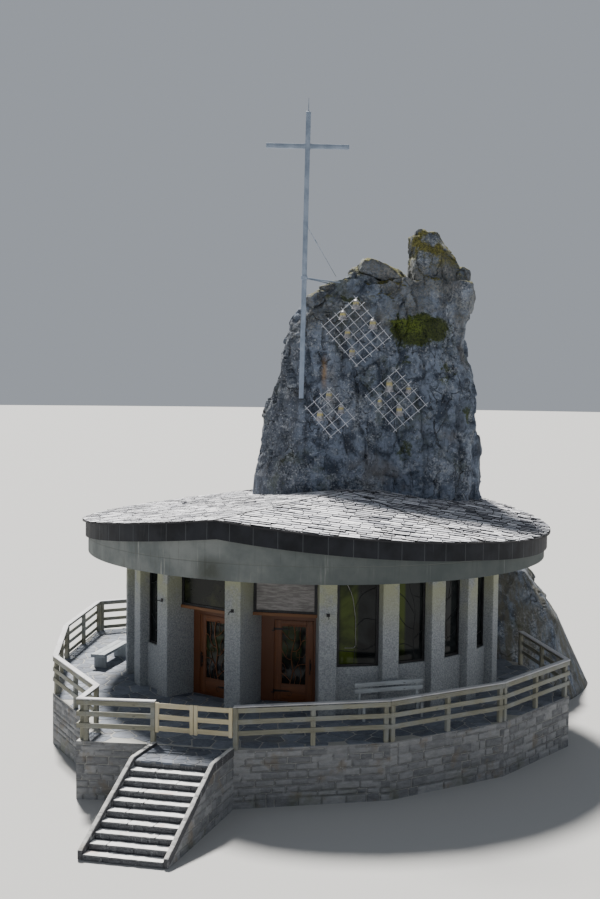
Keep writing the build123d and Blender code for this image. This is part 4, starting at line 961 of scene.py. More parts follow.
def lay_slate(stock, number, fall, foot, outline):
    """A thick split stone on its plan, whose tail lies raised on the head of the next."""
    laid = 0.45 if number == 0 else 0.9
    raised = laid * draw.uniform(0.018, 0.046)
    thick = laid * draw.uniform(0.018, 0.036)
    rings = []
    for plan, less in ((outline, thick), (outline, 0.006), (drawn_in(outline, 0.010), 0.0)):
        down = (plan - PEAK) @ fall - (foot - COURSE - 0.05)
        height = facet_height(number, *plan.T) + 0.006 - less + raised * down / COURSE
        rings.append(np.column_stack((plan, height)))
    stock.skin(np.stack(rings), np.clip(draw.normal(0.55, 0.24), 0, 1))


def make_slates():
    """Rough slates, each of its own width, in courses across the facets, trimmed at the round eaves."""
    stock = Stock()
    for number, aside in enumerate(COURSE_TURNS):
        fall = np.array((sin(radians(aside)), -cos(radians(aside))))
        level = np.array((-fall[1], fall[0]))
        for row in range(52):
            foot = -8 + COURSE * (row + 1)
            start = -9 + draw.random() * 0.5
            while start < 9:
                width = 0.22 + 0.36 * draw.random() ** 1.3
                left, right = start + SLATE_GAP, start + width - SLATE_GAP
                start += width
                slip = draw.normal(0, 0.045)
                middle = PEAK + fall * (foot + slip - COURSE / 2) + level * (left + right) / 2
                if not on_facet(number, middle):
                    continue
                outline = slate_plan(number, fall, foot, slip, left, right)
                if outline is None:
                    continue
                outline = trimmed(outline, middle / hypot(*middle), SLATE_R - 0.02 + draw.normal(0, 0.018))
                if outline is not None and np.ptp(outline, axis=0).min() >= 0.05:
                    lay_slate(stock, number, fall, foot, outline)
    stock.piece("slates", slate, "slate", angle=20)


# Paving, terrace wall and stair

def inside(outline, point):
    """Whether a point is inside a closed outline: the winding count of its edges."""
    x, y = point
    hit = False
    for (x0, y0), (x1, y1) in zip(outline, np.roll(outline, -1, 0)):
        if (y0 > y) != (y1 > y) and x < (x1 - x0) * (y - y0) / (y1 - y0) + x0:
            hit = not hit
    return hit


def cell_stones(seeds, joint, reach):
    """The stone of every seed: the ground nearer to it than to any other, less half a joint, corners cut."""
    for number, seed in enumerate(seeds):
        gaps = np.linalg.norm(seeds - seed, axis=1)
        outline = seed + reach * np.array([(cos(a), sin(a)) for a in np.arange(8) * pi / 4])
        for other in np.argsort(gaps)[1:18]:
            if gaps[other] < 2 * reach and outline is not None:
                normal = (seeds[other] - seed) / gaps[other]
                outline = trimmed(outline, normal, (seeds[other] + seed) @ normal / 2 - joint / 2)
        if outline is not None:
            yield seed, outline


def stone_top(stock, outline, low, high, chamfer=0.012, to_world=None):
    """A flat stone: its outline with cut corners, upright sides, a worn edge and a slightly domed top."""
    after = np.roll(outline, -1, 0)
    size = np.linalg.norm(after - outline, axis=1)[:, None]
    cut = np.minimum(0.3, 0.03 / np.maximum(size, 1e-6))
    outline = np.stack((outline + (after - outline) * cut, after + (outline - after) * cut), 1).reshape(-1, 2)
    tilt = draw.normal(0, 0.003, 2)
    middle = outline.mean(0)

    def lifted(points, height):
        return np.column_stack((points, height + np.clip((points - middle) @ tilt, -0.004, 0.004)))

    rings = np.stack((
        lifted(outline, low), lifted(outline, high - chamfer),
        lifted(drawn_in(outline, chamfer), high - 0.002), lifted(drawn_in(outline, chamfer * 4), high)))
    stock.skin(to_world(rings) if to_world else rings)


def make_paving():
    """Crazy paving: stones between wide pale joints, over the whole terrace outside the room."""
    outline = np.array(list(EDGE.values()))
    grid = np.stack(np.meshgrid(np.arange(-8.3, 7.6, 0.52), np.arange(-9, 7.6, 0.50)), -1).reshape(-1, 2)
    seeds = grid + draw.uniform(-0.2, 0.2, grid.shape)
    edges = list(zip(outline, np.roll(outline, -1, 0)))
    stock = Stock()
    for seed, stone in cell_stones(seeds, 0.028, 0.7):
        distance = hypot(*seed)
        in_room = distance < (4.0 if -55 < np.degrees(np.arctan2(seed[0], -seed[1])) < 8 else 5.2)
        if in_room or not inside(outline, seed) or (-2 < seed[0] < 6.6 and seed[1] > 2.9):
            continue
        for start, end in edges[:-1]:
            side = (end - start) / np.linalg.norm(end - start)
            share = np.clip((seed - start) @ side, 0, np.linalg.norm(end - start))
            if stone is not None and np.linalg.norm(start + side * share - seed) < 0.75:
                outwards = np.array((side[1], -side[0]))
                stone = trimmed(stone, outwards, start @ outwards - 0.02)
        if stone is not None and np.ptp(stone, axis=0).min() > 0.07:
            stone_top(stock, stone, TERRACE - 0.03, TERRACE + 0.012 + draw.uniform(-0.003, 0.003))
    stock.piece("terrace_paving", paving, "paving", angle=30)


def stonework(s, z, height, salt):
    """Coursed stonework at places s along and z up a wall: how far the face stands out, from 0 in the joints
    to 1 on the stones by the distance to the nearest joint of the course, and the tone of each stone, with 0
    for mortar."""
    generator = np.random.default_rng(salt)
    flat = np.stack((s, z, s * 0 + salt), -1).reshape(-1, 3)
    along = s + 0.05 * (swelling(flat, 0.3, 5).reshape(s.shape) - 0.5)
    beds = [0.0]
    while beds[-1] < height - 0.12:
        beds.append(beds[-1] + generator.uniform(0.12, 0.24))
    beds = np.array(beds[1:])
    wave = z + 0.05 * (swelling(flat * (1, 0, 1), 0.8, 9).reshape(s.shape) - 0.5)
    row = np.searchsorted(beds, wave)
    gap = np.abs(wave[..., None] - beds).min(-1)
    tone = np.zeros(s.shape)
    for course in range(len(beds) + 1):
        breaks = np.cumsum(generator.uniform(0.20, 0.62, int(s.max() / 0.2) + 4)) - 0.3
        here = row == course
        if here.any():
            gap[here] = np.minimum(gap[here], np.abs(along[here][:, None] - breaks).min(1))
            stone = np.searchsorted(breaks, along[here])
            tone[here] = hashed(np.stack((stone, stone * 0 + course, stone * 0 + salt), -1), 3)
    relief = np.clip((gap - 0.008) / 0.035, 0, 1)
    relief = relief * (2 - relief)
    relief = np.clip(relief * (0.78 + 0.35 * tone + 0.6 * layered(flat, 0.30, 13, 4).reshape(s.shape)), 0, 1)
    return relief, np.where(relief < 0.16, 0.0, 0.2 + 0.8 * tone)


def make_terrace_wall():
    """The terrace body: stonework on every side, with faces of mortar that close it above and below."""
    corners = [np.array(corner) for corner in EDGE.values()]
    stock = Stock()
    rims = [], []
    for number, (start, end) in enumerate(zip(corners, corners[1:] + corners[:1])):
        length = np.linalg.norm(end - start)
        side = (end - start) / length
        inwards = np.array((-side[1], side[0]))
        along = np.linspace(0, length, max(8, int(length / 0.033)))
        up = np.linspace(0, TERRACE, 44)
        s, z = np.meshgrid(along, up, indexing="ij")
        relief, tone = stonework(s, z, TERRACE, 60 + number)
        fade = np.minimum(1, np.minimum(s, length - s) / 0.05)
        fade = fade * np.minimum(1, np.minimum(z, TERRACE - z) / 0.03)
        sunk = 0.036 * (1 - relief) * fade
        plan = start + side * s[..., None] + inwards * sunk[..., None]
        grid = np.concatenate((plan, z[..., None]), -1)
        rims[0].append(grid[:-1, -1])
        rims[1].append(grid[:-1, 0])
        stock.sheet(grid, tone)
    for number, rim in enumerate(rims):
        ring = np.concatenate(rim)[::-1 if number else 1]
        stock.take(ring, [list(range(stock.count, stock.count + len(ring)))], ring[:, :2], 0.0)
    stock.piece("terrace_wall", terrace_stone, "paving", replaces=("terrace_platform",), angle=60)


RISER = 0.14
RISERS = 10
TREAD = 0.27
LANDING = 1.2
STAIR_HALF = 0.995
KERB_W = 0.11
STAIR_L = LANDING + TREAD * (RISERS - 1)
STAIR_DRIFT = STAIR_L * tan(radians(6))
TREAD_T = 0.05
GATE_LEFT, GATE_RIGHT = np.array(EDGE["gate_left"]), np.array(EDGE["gate_right"])
GATE_W = hypot(*(GATE_RIGHT - GATE_LEFT))
GATE_TURN = np.degrees(np.arctan2(*(GATE_RIGHT - GATE_LEFT)[::-1]))
gate_place = level_place(*(GATE_LEFT + GATE_RIGHT) / 2, 0, GATE_TURN)


def flight(points):
    """Points of the straight flight moved aside with their way down it, and put at the gate."""
    x, y, z = np.moveaxis(points, -1, 0)
    return gate_place.at(x + STAIR_DRIFT * y / STAIR_L, y, z)


def walked(outline, step):
    """A closed outline with points added along it at about a step."""
    dense = []
    for here, there in zip(outline, np.roll(outline, -1, 0)):
        count = max(1, int(np.linalg.norm(there - here) / step))
        dense.append(here + (there - here) * np.arange(count)[:, None] / count)
    return np.concatenate(dense)


def rough_block(stock, x, y, z, step=0.05, rough=0.008, edge=0.012, salt=0.0):
    """A hewn block: a rounded rectangle carried across the flight, its faces pushed in unevenly."""
    outline = walked(rounded(*y, *z, edge), step)
    middle = outline.mean(0)
    between = np.linspace(x[0] + 2 * edge, x[1] - 2 * edge, max(3, int((x[1] - x[0]) / step)))
    stations = np.concatenate(([x[0], x[0] + edge], between, [x[1] - edge, x[1]]))
    shrink = np.ones(len(stations))
    shrink[[0, -1]] = 1 - edge / (0.5 * min(y[1] - y[0], z[1] - z[0]))
    ring = middle + (outline - middle)[None] * shrink[:, None, None]
    points = np.concatenate((np.broadcast_to(stations[:, None, None], ring.shape[:2] + (1,)), ring), -1)
    push = rough * (layered(points.reshape(-1, 3) + salt, 0.16, 3, 3) * 2 - 0.5).reshape(points.shape[:2])
    away = points - np.concatenate((points[..., :1], np.broadcast_to(middle, ring.shape)), -1)
    away /= np.maximum(np.linalg.norm(away, axis=2, keepdims=True), 1e-6)
    stock.skin(flight(points + away * push[..., None]))


def step_edge(number):
    """The height and the front of the step that lies some risers under the terrace."""
    return TERRACE - RISER * number, -LANDING - TREAD * number


def make_treads(inner):
    """Ragged pale treads of two or three stones each."""
    stock = Stock()
    for number in range(1, RISERS):
        top, front = step_edge(number)
        cuts = draw.uniform(-inner + 0.4, inner - 0.4, 1 if number % 3 else 2)
        breaks = np.sort(np.concatenate(([-inner, inner], cuts)))
        for left, right in zip(breaks, breaks[1:]):
            nose = front - 0.025 + draw.uniform(0, 0.012)
            rough_block(stock, (left + 0.003, right - 0.003), (nose, front + TREAD - 0.02),
                        (top - TREAD_T, top - draw.uniform(0, 0.004)), rough=0.013, salt=number * 3.1 + left)
    stock.piece("stair_tread_stones", tread_stone, "paving", replaces=("stair_treads",), angle=40)


def make_risers(inner):
    """Rows of dark riser stones before a plain core whose outline follows the steps."""
    stock, steps = Stock(), []
    for number in range(RISERS):
        top, front = step_edge(number)
        top -= TREAD_T
        steps.append((front + 0.02, top))
        left = -inner
        while left < inner - 0.02:
            right = min(inner, left + draw.uniform(0.22, 0.5))
            if inner - right < 0.12:
                right = inner
            rough_block(stock, (left + 0.004, right - 0.004), (front, front + 0.24),
                        (max(0.0, top - 0.09), top - 0.002), rough=0.014, salt=number * 1.7 + left * 5)
            left = right
    profile, below = [(0.0, 0.0)], 0.0
    for y, z in steps[::-1]:
        profile += [(y, max(0.0, below)), (y, z)]
        below = z
    profile = np.array([(y, z - 0.001) for y, z in profile] + [(0.0, steps[0][1])])
    profile[:, 1] = np.maximum(profile[:, 1], 0.0)
    core = np.stack([np.column_stack((np.full(len(profile), x), profile)) for x in (inner, -inner)])
    stock.skin(flight(core), 0.4)
    stock.piece("stair_riser_stones", riser_stone, "paving", replaces=("stair_risers",), angle=40)


def make_landing(inner):
    """Broken slates on a bed of dark mortar before the gate."""
    stock, bed = Stock(), Stock()
    grid = np.stack(np.meshgrid(np.arange(-1.2, 1.3, 0.31), np.arange(-1.35, 0.2, 0.29)), -1).reshape(-1, 2)
    sides = (((-1, 0), inner), ((1, 0), inner), ((0, -1), LANDING + 0.022), ((0, 1), -0.004))
    for _, stone in cell_stones(grid + draw.uniform(-0.11, 0.11, grid.shape), 0.022, 0.42):
        for normal, limit in sides:
            if stone is not None:
                stone = trimmed(stone, np.array(normal, float), limit)
        if stone is not None and np.ptp(stone, axis=0).min() > 0.05:
            stone_top(stock, stone, TERRACE - 0.048, TERRACE + draw.uniform(-0.005, 0.003), 0.008, flight)
    rough_block(bed, (-inner, inner), (-LANDING, -0.002), (TERRACE - 0.055, TERRACE - 0.012), step=0.3,
                rough=0.001, edge=0.004)
    stock.piece("landing_paving", landing_slate, "paving", replaces=("stair_landing",), angle=30)
    bed.piece("landing_bed", dark_mortar, "paving", replaces=("stair_landing",), angle=40)


def make_kerbs(inner):
    """Thin kerb slabs down both sides, each on a wall of stonework."""
    stock, walls = Stock(), Stock()
    for side in (-1, 1):
        make_stair_side(walls, side, inner)
        down = 0.0
        while down < STAIR_L - 0.05:
            long = min(draw.uniform(0.42, 0.64), STAIR_L - down)
            if STAIR_L - down - long < 0.2:
                long = STAIR_L - down
            kerb_stone(stock, sorted((side * inner, side * STAIR_HALF)), -down - long, -down)
            down += long
    stock.piece("kerb_stones", kerb_rock, "paving", replaces=("stair_kerbs",), angle=40)
    walls.piece("stair_sides", terrace_stone, "paving", replaces=("stair_kerbs",), angle=60)


def make_stair():
    """Treads on risers, a landing before the gate, and kerbs that step down both sides."""
    inner = STAIR_HALF - KERB_W
    make_treads(inner)
    make_risers(inner)
    make_landing(inner)
    make_kerbs(inner)


def kerb_top(y):
    """The height of the kerb beside the flight: level along the landing, then falling with the steps."""
    return np.maximum(TERRACE + 0.08 + np.minimum(0, (RISER / TREAD) * (LANDING + np.asarray(y))), 0.09)


def kerb_stone(stock, edges, low, high):
    """A thin kerb slab on edge, a narrow block whose top and foot follow the flight."""
    y = np.linspace(low + 0.004, high - 0.004, 12)
    uneven = layered(np.stack((y, y * 0, y * 0 + edges[0]), -1), 0.16, 7, 3)
    top = kerb_top(y) + 0.010 * uneven - 0.006
    foot = np.maximum(top - 0.20, 0.0)
    x0, x1 = edges[0] + 0.004 * uneven + 0.004, edges[1] - 0.004 * uneven - 0.004
    rings = np.stack([np.stack(corner, -1) for corner in (
        (x0, y, foot), (x1, y, foot), (x1, y, top - 0.012), (x1 - 0.012, y, top), (x0 + 0.012, y, top),
        (x0, y, top - 0.012))], 1)
    rings[[0, -1], 2:, 2] -= 0.008
    stock.skin(flight(rings))


def make_stair_side(stock, side, inner):
    """The wall under a kerb: sections across it, from the foot of the flight to its head, with stonework on
    the outer face."""
    y = np.linspace(-STAIR_L + 0.01, -0.004, 112)
    share = np.linspace(0, 1, 40)
    top = np.maximum(kerb_top(y) - 0.12, 0.02)
    s, z = np.broadcast_arrays(y[:, None], top[:, None] * share)
    relief, tone = stonework(s + STAIR_L, z, TERRACE, 90 + side)
    x = side * (STAIR_HALF - 0.008 - 0.028 * (1 - relief))
    outer = np.stack((x, s, z), -1)
    back = np.stack((np.full((112, 2), side * (inner + 0.004)), s[:, :2], np.stack((top, top * 0), -1)), -1)
    stock.skin(flight(np.concatenate((outer, back), 1)), np.concatenate((tone, np.full((112, 2), 0.5)), 1))


# Piers and windows

DOOR_PIER = -22.2
RIGHT_AZ = DOOR_PIER + 25.7 + np.concatenate(([0], np.cumsum((17.0, 14.9, 14.0, 14.9))))
LEFT_AZ = DOOR_PIER - 24.9 - np.arange(7) * 15.0
PIERS = {
    "piers_left": LEFT_AZ[3:], "piers_front": [*LEFT_AZ[:3], DOOR_PIER, RIGHT_AZ[0]],
    "piers_right": RIGHT_AZ[1:]}
HOOK_PIERS = LEFT_AZ[0], DOOR_PIER, RIGHT_AZ[0]
PIER_ROWS = 58


def pier_skin(azimuth, deep):
    """The points of a pier, up it and round it, each pushed along the outward way of its own face."""
    outline = walked(rounded(-PIER_W / 2, PIER_W / 2, -PIER_R, -PIER_R + deep, 0.02, 3), 0.06)
    heights = np.linspace(0, SOFFIT - TERRACE, PIER_ROWS)
    points = np.concatenate((
        np.broadcast_to(outline, (PIER_ROWS,) + outline.shape),
        np.broadcast_to(heights[:, None, None], (PIER_ROWS, len(outline), 1))), -1)
    flat = points.reshape(-1, 3) + azimuth
    dent = 0.009 * (layered(flat, 0.22, 5, 3) - 0.35) + 0.005 * (swelling(flat, 0.055, 15) - 0.9)
    away = outline - (0, -PIER_R + deep / 2)
    share = np.abs(away) / (PIER_W / 2, deep / 2)
    way = np.sign(away) * (share >= share.max(1, keepdims=True) - 0.02)
    points[..., :2] += way * dent.reshape(PIER_ROWS, -1, 1)
    return bay_place(azimuth).path(points)


def make_piers():
    """Roughcast piers: a rounded rectangle carried up from the terrace, its faces uneven by millimetres."""
    for name, azimuths in PIERS.items():
        stock = Stock()
        for azimuth in azimuths:
            stock.skin(pier_skin(azimuth, 1.5 if azimuth in HOOK_PIERS else 0.9), 0.5)
        stock.piece(name + "_cast", roughcast, "roughcast", replaces=(name,), angle=40)


def clear_half_width(radius, bay):
    half = radians(bay / 2)
    return (radius * sin(half) - PIER_W / 2) / cos(half)


# Lead lines of the windows, in shares of a pane from its left and foot
LEADS = (
    (((0.08, 1.0), (0.30, 0.86), (0.42, 0.62), (0.45, 0.3), (0.42, 0.0)),
     ((0.42, 0.62), (0.62, 0.8), (1.0, 0.88)), ((0.45, 0.42), (0.7, 0.52), (1.0, 0.5)),
     ((0.44, 0.2), (0.7, 0.16), (1.0, 0.22)), ((0.0, 0.16), (0.43, 0.14)), ((0.6, 0.8), (0.66, 1.0))),
    (((0.3, 0.0), (0.34, 0.3), (0.28, 0.6), (0.5, 0.85), (0.62, 1.0)),
     ((0.32, 0.55), (0.65, 0.72), (1.0, 0.82)), ((0.33, 0.36), (0.66, 0.42), (1.0, 0.58)),
     ((0.32, 0.14), (0.7, 0.2), (1.0, 0.18)), ((0.0, 0.72), (0.4, 0.76)), ((0.0, 0.34), (0.33, 0.24))),
    (((0.0, 0.78), (0.5, 0.66), (1.0, 0.92)), ((0.42, 0.68), (0.34, 0.4), (1.0, 0.56)),
     ((0.0, 0.5), (0.36, 0.42), (0.5, 0.2), (1.0, 0.3)), ((0.5, 0.2), (0.3, 0.1), (0.0, 0.16)),
     ((0.5, 0.66), (0.62, 0.86), (0.56, 1.0))),
)
# The pale line that bounds the green part of the first pane
PALE_LEAD = (
    (0.12, 1.0), (0.27, 0.87), (0.37, 0.76), (0.41, 0.63), (0.45, 0.52), (0.45, 0.35), (0.44, 0.20),
    (0.16, 0.19))


LEAD_FRONT = -PIER_R + 0.3 + 0.04 - 0.010
PANE_FOOT, PANE_HEAD = 1.24 + 0.06, 3.61 - 0.06


def lay_lead(stock, low_az, high_az, path, nearer, thick):
    """A round bar before the pane between two azimuths, along a path in shares of the pane."""
    half = clear_half_width(PIER_R - 0.38, high_az - low_az) - 0.06
    x, z = -half + 2 * half * path[:, 0], PANE_FOOT + (PANE_HEAD - PANE_FOOT) * path[:, 1]
    tube(stock, bay_place((low_az + high_az) / 2).at(x, LEAD_FRONT - nearer, z), thick, 6)


def make_leads():
    """Irregular dark lead lines like branches over the panes, and the one pale line."""
    stock, pale = Stock(), Stock()
    bays = list(zip(RIGHT_AZ[:-1], RIGHT_AZ[1:])) + list(zip(LEFT_AZ[1:], LEFT_AZ[:-1]))
    for number, (low_az, high_az) in enumerate(bays):
        for line in LEADS[number % 3]:
            path = smooth_line(np.array(line), 16)
            if number % 2:
                path[:, 0] = 1 - path[:, 0]
            lay_lead(stock, low_az, high_az, path, 0.0, 0.010)
    stock.piece("window_leads", black_iron, "dark_steel")
    lay_lead(pale, RIGHT_AZ[0], RIGHT_AZ[1], smooth_line(np.array(PALE_LEAD), 40), 0.012, 0.009)
    pale.piece("pale_lead_line", pale_lead, "dark_steel")


# Doors

# For each door: its hinge's side, its depth, its jambs' widths left and right, and its bay's angle
DOORS = {"left": (1, 0.97, 0.199, 0.259, 24.9), "right": (-1, 1.36, 0.323, 0.023, 25.7)}
LEAF_FOOT, LEAF_HEAD = 0.058, 2.212
STILE, FOOT_RAIL, HEAD_RAIL = 0.19, 0.42, 0.15
TRACERY = (
    (0.046, ((0.34, 0.0), (0.46, 0.22), (0.4, 0.5), (0.54, 0.78), (0.5, 1.0))),
    (0.034, ((0.0, 0.2), (0.2, 0.13), (0.36, 0.06))),
    (0.034, ((0.45, 0.2), (0.66, 0.33), (1.0, 0.36))),
    (0.034, ((0.41, 0.42), (0.2, 0.46), (0.0, 0.6))),
    (0.034, ((0.43, 0.56), (0.68, 0.6), (0.82, 0.74), (1.0, 0.78))),
    (0.030, ((0.52, 0.74), (0.26, 0.8), (0.0, 0.92))),
    (0.026, ((0.78, 0.69), (0.74, 0.86), (0.8, 1.0))),
    (0.026, ((0.7, 0.34), (0.8, 0.18), (0.74, 0.0))),
)
# Thinner twigs that only the finished door has
TWIGS = (
    (0.018, ((0.2, 0.13), (0.16, 0.3), (0.0, 0.38))), (0.018, ((0.62, 0.32), (0.74, 0.46), (0.7, 0.56))),
    (0.016, ((0.26, 0.8), (0.3, 0.92), (0.24, 1.0))), (0.018, ((0.2, 0.46), (0.24, 0.62), (0.1, 0.74))),
    (0.016, ((0.66, 0.62), (0.6, 0.48), (0.86, 0.48), (1.0, 0.56))),
    (0.014, ((0.5, 0.9), (0.62, 0.94), (0.66, 1.0))),
    (0.018, ((0.5, 0.24), (0.58, 0.12), (0.52, 0.0))),
)


def door_place(side):
    hinge, setback, left, right, bay = DOORS[side]
    azimuth = DOOR_PIER - 12.45 if side == "left" else DOOR_PIER + 12.85
    half = clear_half_width(PIER_R - setback - 0.12, bay)
    width = 2 * half - left - right - 0.016
    place = bay_place(azimuth, (left - right) / 2)
    return Place(place.at(0.0, -PIER_R + setback, 0.0), place.along, place.across), hinge, width


def make_leaf(side, place, half, inner, low, high):
    """Two stiles and two rails, with a moulded edge round the glass."""
    wood, upright, bead = Stock(), place.standing(), 0.018
    for x0, x1 in ((-half, -inner), (inner, half)):
        plank(wood, upright, LEAF_HEAD - LEAF_FOOT, (x0, x1), (0.0, 0.06), edge=0.005, start=LEAF_FOOT)
    for z0, z1 in ((LEAF_FOOT, low), (high, LEAF_HEAD)):
        plank(wood, place, 2 * inner, (0.0, 0.06), (z0, z1), edge=0.005, start=-inner)
    for x in (-inner, inner - bead):
        plank(wood, upright, high - low, (x, x + bead), (0.008, 0.022), edge=0.004, start=low)
    for z in (low, high - bead):
        plank(wood, place, 2 * inner, (0.008, 0.022), (z, z + bead), edge=0.004, start=-inner)
    wood.piece(f"door_{side}_leaf", door_wood, "door_wood", f"door_{side}", (f"door_{side}_timber",))


def make_branches(side, place, hinge, inner, low, high):
    """Rounded branches before the glass, their girth a little uneven."""
    stock = Stock()
    for thick, points in TRACERY + TWIGS:
        path = smooth_line(np.array(points), 26)
        x = hinge * 2 * inner * (0.5 - path[:, 0])
        z = low + (high - low) * path[:, 1]
        girth = thick / 2 * (1.0 + 0.22 * np.sin(np.arange(26) * 1.3 + 40 * thick))
        tube(stock, place.at(x, 0.009, z), girth, 8, flat=0.62)
    stock.piece(
        f"door_{side}_branches", branch_wood, "door_wood", f"door_{side}", (f"door_{side}_tracery",))


def make_door_irons(side, place, hinge, half):
    """Forged hinges that end in a curl, and a pull on a plate."""
    iron = Stock()
    for height, curl in ((LEAF_FOOT + 0.24, -1), (LEAF_HEAD - 0.24, 1)):
        make_strap(iron, place, (hinge * (half + 0.004), -0.025, height), -hinge, 0.0, 0.42, curl)
    x = -hinge * (half - 0.08)
    grip = ((-0.045, 0.78), (-0.06, 0.80), (-0.06, 0.90), (-0.062, 0.98), (-0.06, 1.06), (-0.06, 1.16),
            (-0.045, 1.185))
    tube(iron, place.path(smooth_line([(x, y, z) for y, z in grip], 24)), 0.013, 10)
    for z in (0.82, 1.14):
        tube(iron, place.path([(x, y, z) for y in (-0.06, -0.03, 0.0)]), 0.010, 10)
    plank(iron, place.standing(), 0.2, (x - 0.022, x + 0.022), (-0.004, 0.0), edge=0.0018, start=0.88)
    iron.piece(f"door_{side}_irons", black_iron, "dark_steel", f"door_{side}", (f"door_{side}_ironwork",))


def make_doors():
    """Framed leaves with branches before their glass, on forged hinges."""
    for side in DOORS:
        place, hinge, width = door_place(side)
        half, inner = width / 2, width / 2 - STILE
        low, high = LEAF_FOOT + FOOT_RAIL, LEAF_HEAD - HEAD_RAIL
        make_leaf(side, place, half, inner, low, high)
        make_branches(side, place, hinge, inner, low, high)
        make_door_irons(side, place, hinge, half)


def make_eye(stock, place, x, y, height):
    """The eye of a strap: a short ring round its pin."""
    turn = np.linspace(0, 2 * pi, 17)[:-1]
    inner, outer = 0.0105, 0.0165
    rings = [place.at(x + radius * np.cos(turn), y + radius * np.sin(turn), height + z) for radius, z in (
        (inner, -0.03), (outer, -0.03), (outer, 0.03), (inner, 0.03), (inner, -0.03))]
    stock.skin(np.array(rings), 0.5, ends=False)


def make_strap(stock, place, pin, way, face, length, curl):
    """A forged strap: an eye round its pin, a band that narrows along the leaf, and a curled tip."""
    x, y, height = pin
    make_eye(stock, place, x, y, height)
    share = np.linspace(0, 1, 14)
    wide = 0.030 - 0.016 * share ** 1.4
    line = x + way * (0.010 + (length - 0.01) * share)
    rings = []
    for here, half in zip(line, wide):
        section = [(-half, -0.008), (half, -0.008), (half, 0.0), (-half, 0.0)]
        if way < 0:
            section = section[::-1]
        rings.append([place.at(here, face + depth, height + up) for up, depth in section])
    stock.skin(np.array(rings)[:, ::-1], 0.5)
    turns = np.linspace(0, 1.55 * pi, 22)
    radius = 0.075 * (1 - 0.55 * turns / (1.55 * pi))
    tip_x = x + way * (length + radius * np.sin(turns))
    tip_z = height + curl * (0.075 - radius * np.cos(turns))
    tube(stock, place.at(tip_x, face - 0.006, tip_z), 0.009 - 0.003 * turns / (1.55 * pi), 8, flat=0.7)
    for share in (0.25, 0.6, 0.9):
        dome = np.array([(x + way * length * share, face - 0.008 - d, height) for d in (0.0, 0.003, 0.005)])
        tube(stock, place.path(dome), np.array((0.008, 0.006, 0.002)), 8)


# Fence and gate

PANELS = {
    "fence_rear": ("rear", "rear_left"), "fence_left": ("rear_left", "left", "left_front"),
    "fence_front_left": ("left_front", "pocket", "front_left", "gate_left"),
    "fence_front": ("gate_right", "front", "front_right", "right"), "fence_right": ("right", "rock_right"),
}
POST, POST_H, RAIL_T, RAIL_H = 0.11, 1.0, 0.03, 0.115
RAIL_TOP, RAIL_STEP, CAP_T = 0.93, 0.275, 0.03


def side_of(start, end):
    (x0, y0), (x1, y1) = EDGE[start], EDGE[end]
    return hypot(x1 - x0, y1 - y0), np.degrees(np.arctan2(y1 - y0, x1 - x0))


def mitre_at(corner):
    """How much a board's end slants per metre across it: by half the turn of the terrace edge, and beside the
    gate by the whole of it."""
    names = list(EDGE)
    place = names.index(corner)
    if corner in (names[0], names[-1]):
        return 0.0
    before, after = side_of(names[place - 1], corner)[1], side_of(corner, names[place + 1])[1]
    turn = (after - before + 180) % 360 - 180
    return tan(radians(turn if corner.startswith("gate") else turn / 2))


def make_fence():
    """Weathered rails on square posts under a silver cap board, mitred at the corners of the terrace."""
    for name, corners in PANELS.items():
        wood, caps, nails = Stock(), Stock(), Stock()
        for start, end in zip(corners, corners[1:]):
            length, direction = side_of(start, end)
            place = level_place(*EDGE[start], TERRACE, direction)
            near, far = mitre_at(start), mitre_at(end)
            if end == "rock_right":
                length = length - 0.15
            gap = 0.002
            plank(caps, place, length - 2 * gap, (-0.008, 0.142), (POST_H, POST_H + CAP_T), (near, far),
                  start=gap, bow=draw.normal(0, 0.003))
            first = POST / 2 + 0.02 + (RAIL_T + POST) * max(0, near)
            last = length - POST / 2 - 0.02 - (RAIL_T + POST) * max(0, far)
            bays = max(1, round(length / 1.8))
            posts = [first + (last - first) * step / bays for step in range(bays + 1)]
            for corner, aside in (("gate_left", -1), ("gate_right", 1)):
                if corner in (start, end):
                    posts.pop(0 if corner == start else -1)
                    upright = gate_place.standing(aside * (GATE_W + POST) / 2, (RAIL_T + POST) / 2, TERRACE)
                    half = (RAIL_T + POST) / 2
                    plank(wood, upright, POST_H - 0.001, (-POST / 2, POST / 2), (-half, half), edge=0.008)
            for x in posts:
                upright = place.standing(x, RAIL_T + POST / 2, 0.0)
                plank(wood, upright, POST_H - 0.001, (-POST / 2, POST / 2), (-POST / 2, POST / 2), edge=0.008)
            for number in range(4 if start in ("rear", "rear_left") else 3):
                z = RAIL_TOP - RAIL_STEP * number + draw.normal(0, 0.004)
                plank(wood, place, length - 2 * gap, (0.0, RAIL_T), (z - RAIL_H / 2, z + RAIL_H / 2),
                      (near, far), start=gap, bow=draw.normal(0, 0.003))
                for x in posts:
                    for up in (-0.03, 0.03):
                        head = np.array([(x, -0.0005 - d, z + up) for d in (0.0, 0.002)])
                        tube(nails, place.path(head), np.array((0.006, 0.004)), 6)
        wood.piece(name + "_rails", larch, "fence_wood", replaces=(name,))
        caps.piece(name + "_caps", silver_larch, "fence_wood", replaces=(name,))
        nails.piece(name + "_nails", black_iron, "dark_steel")


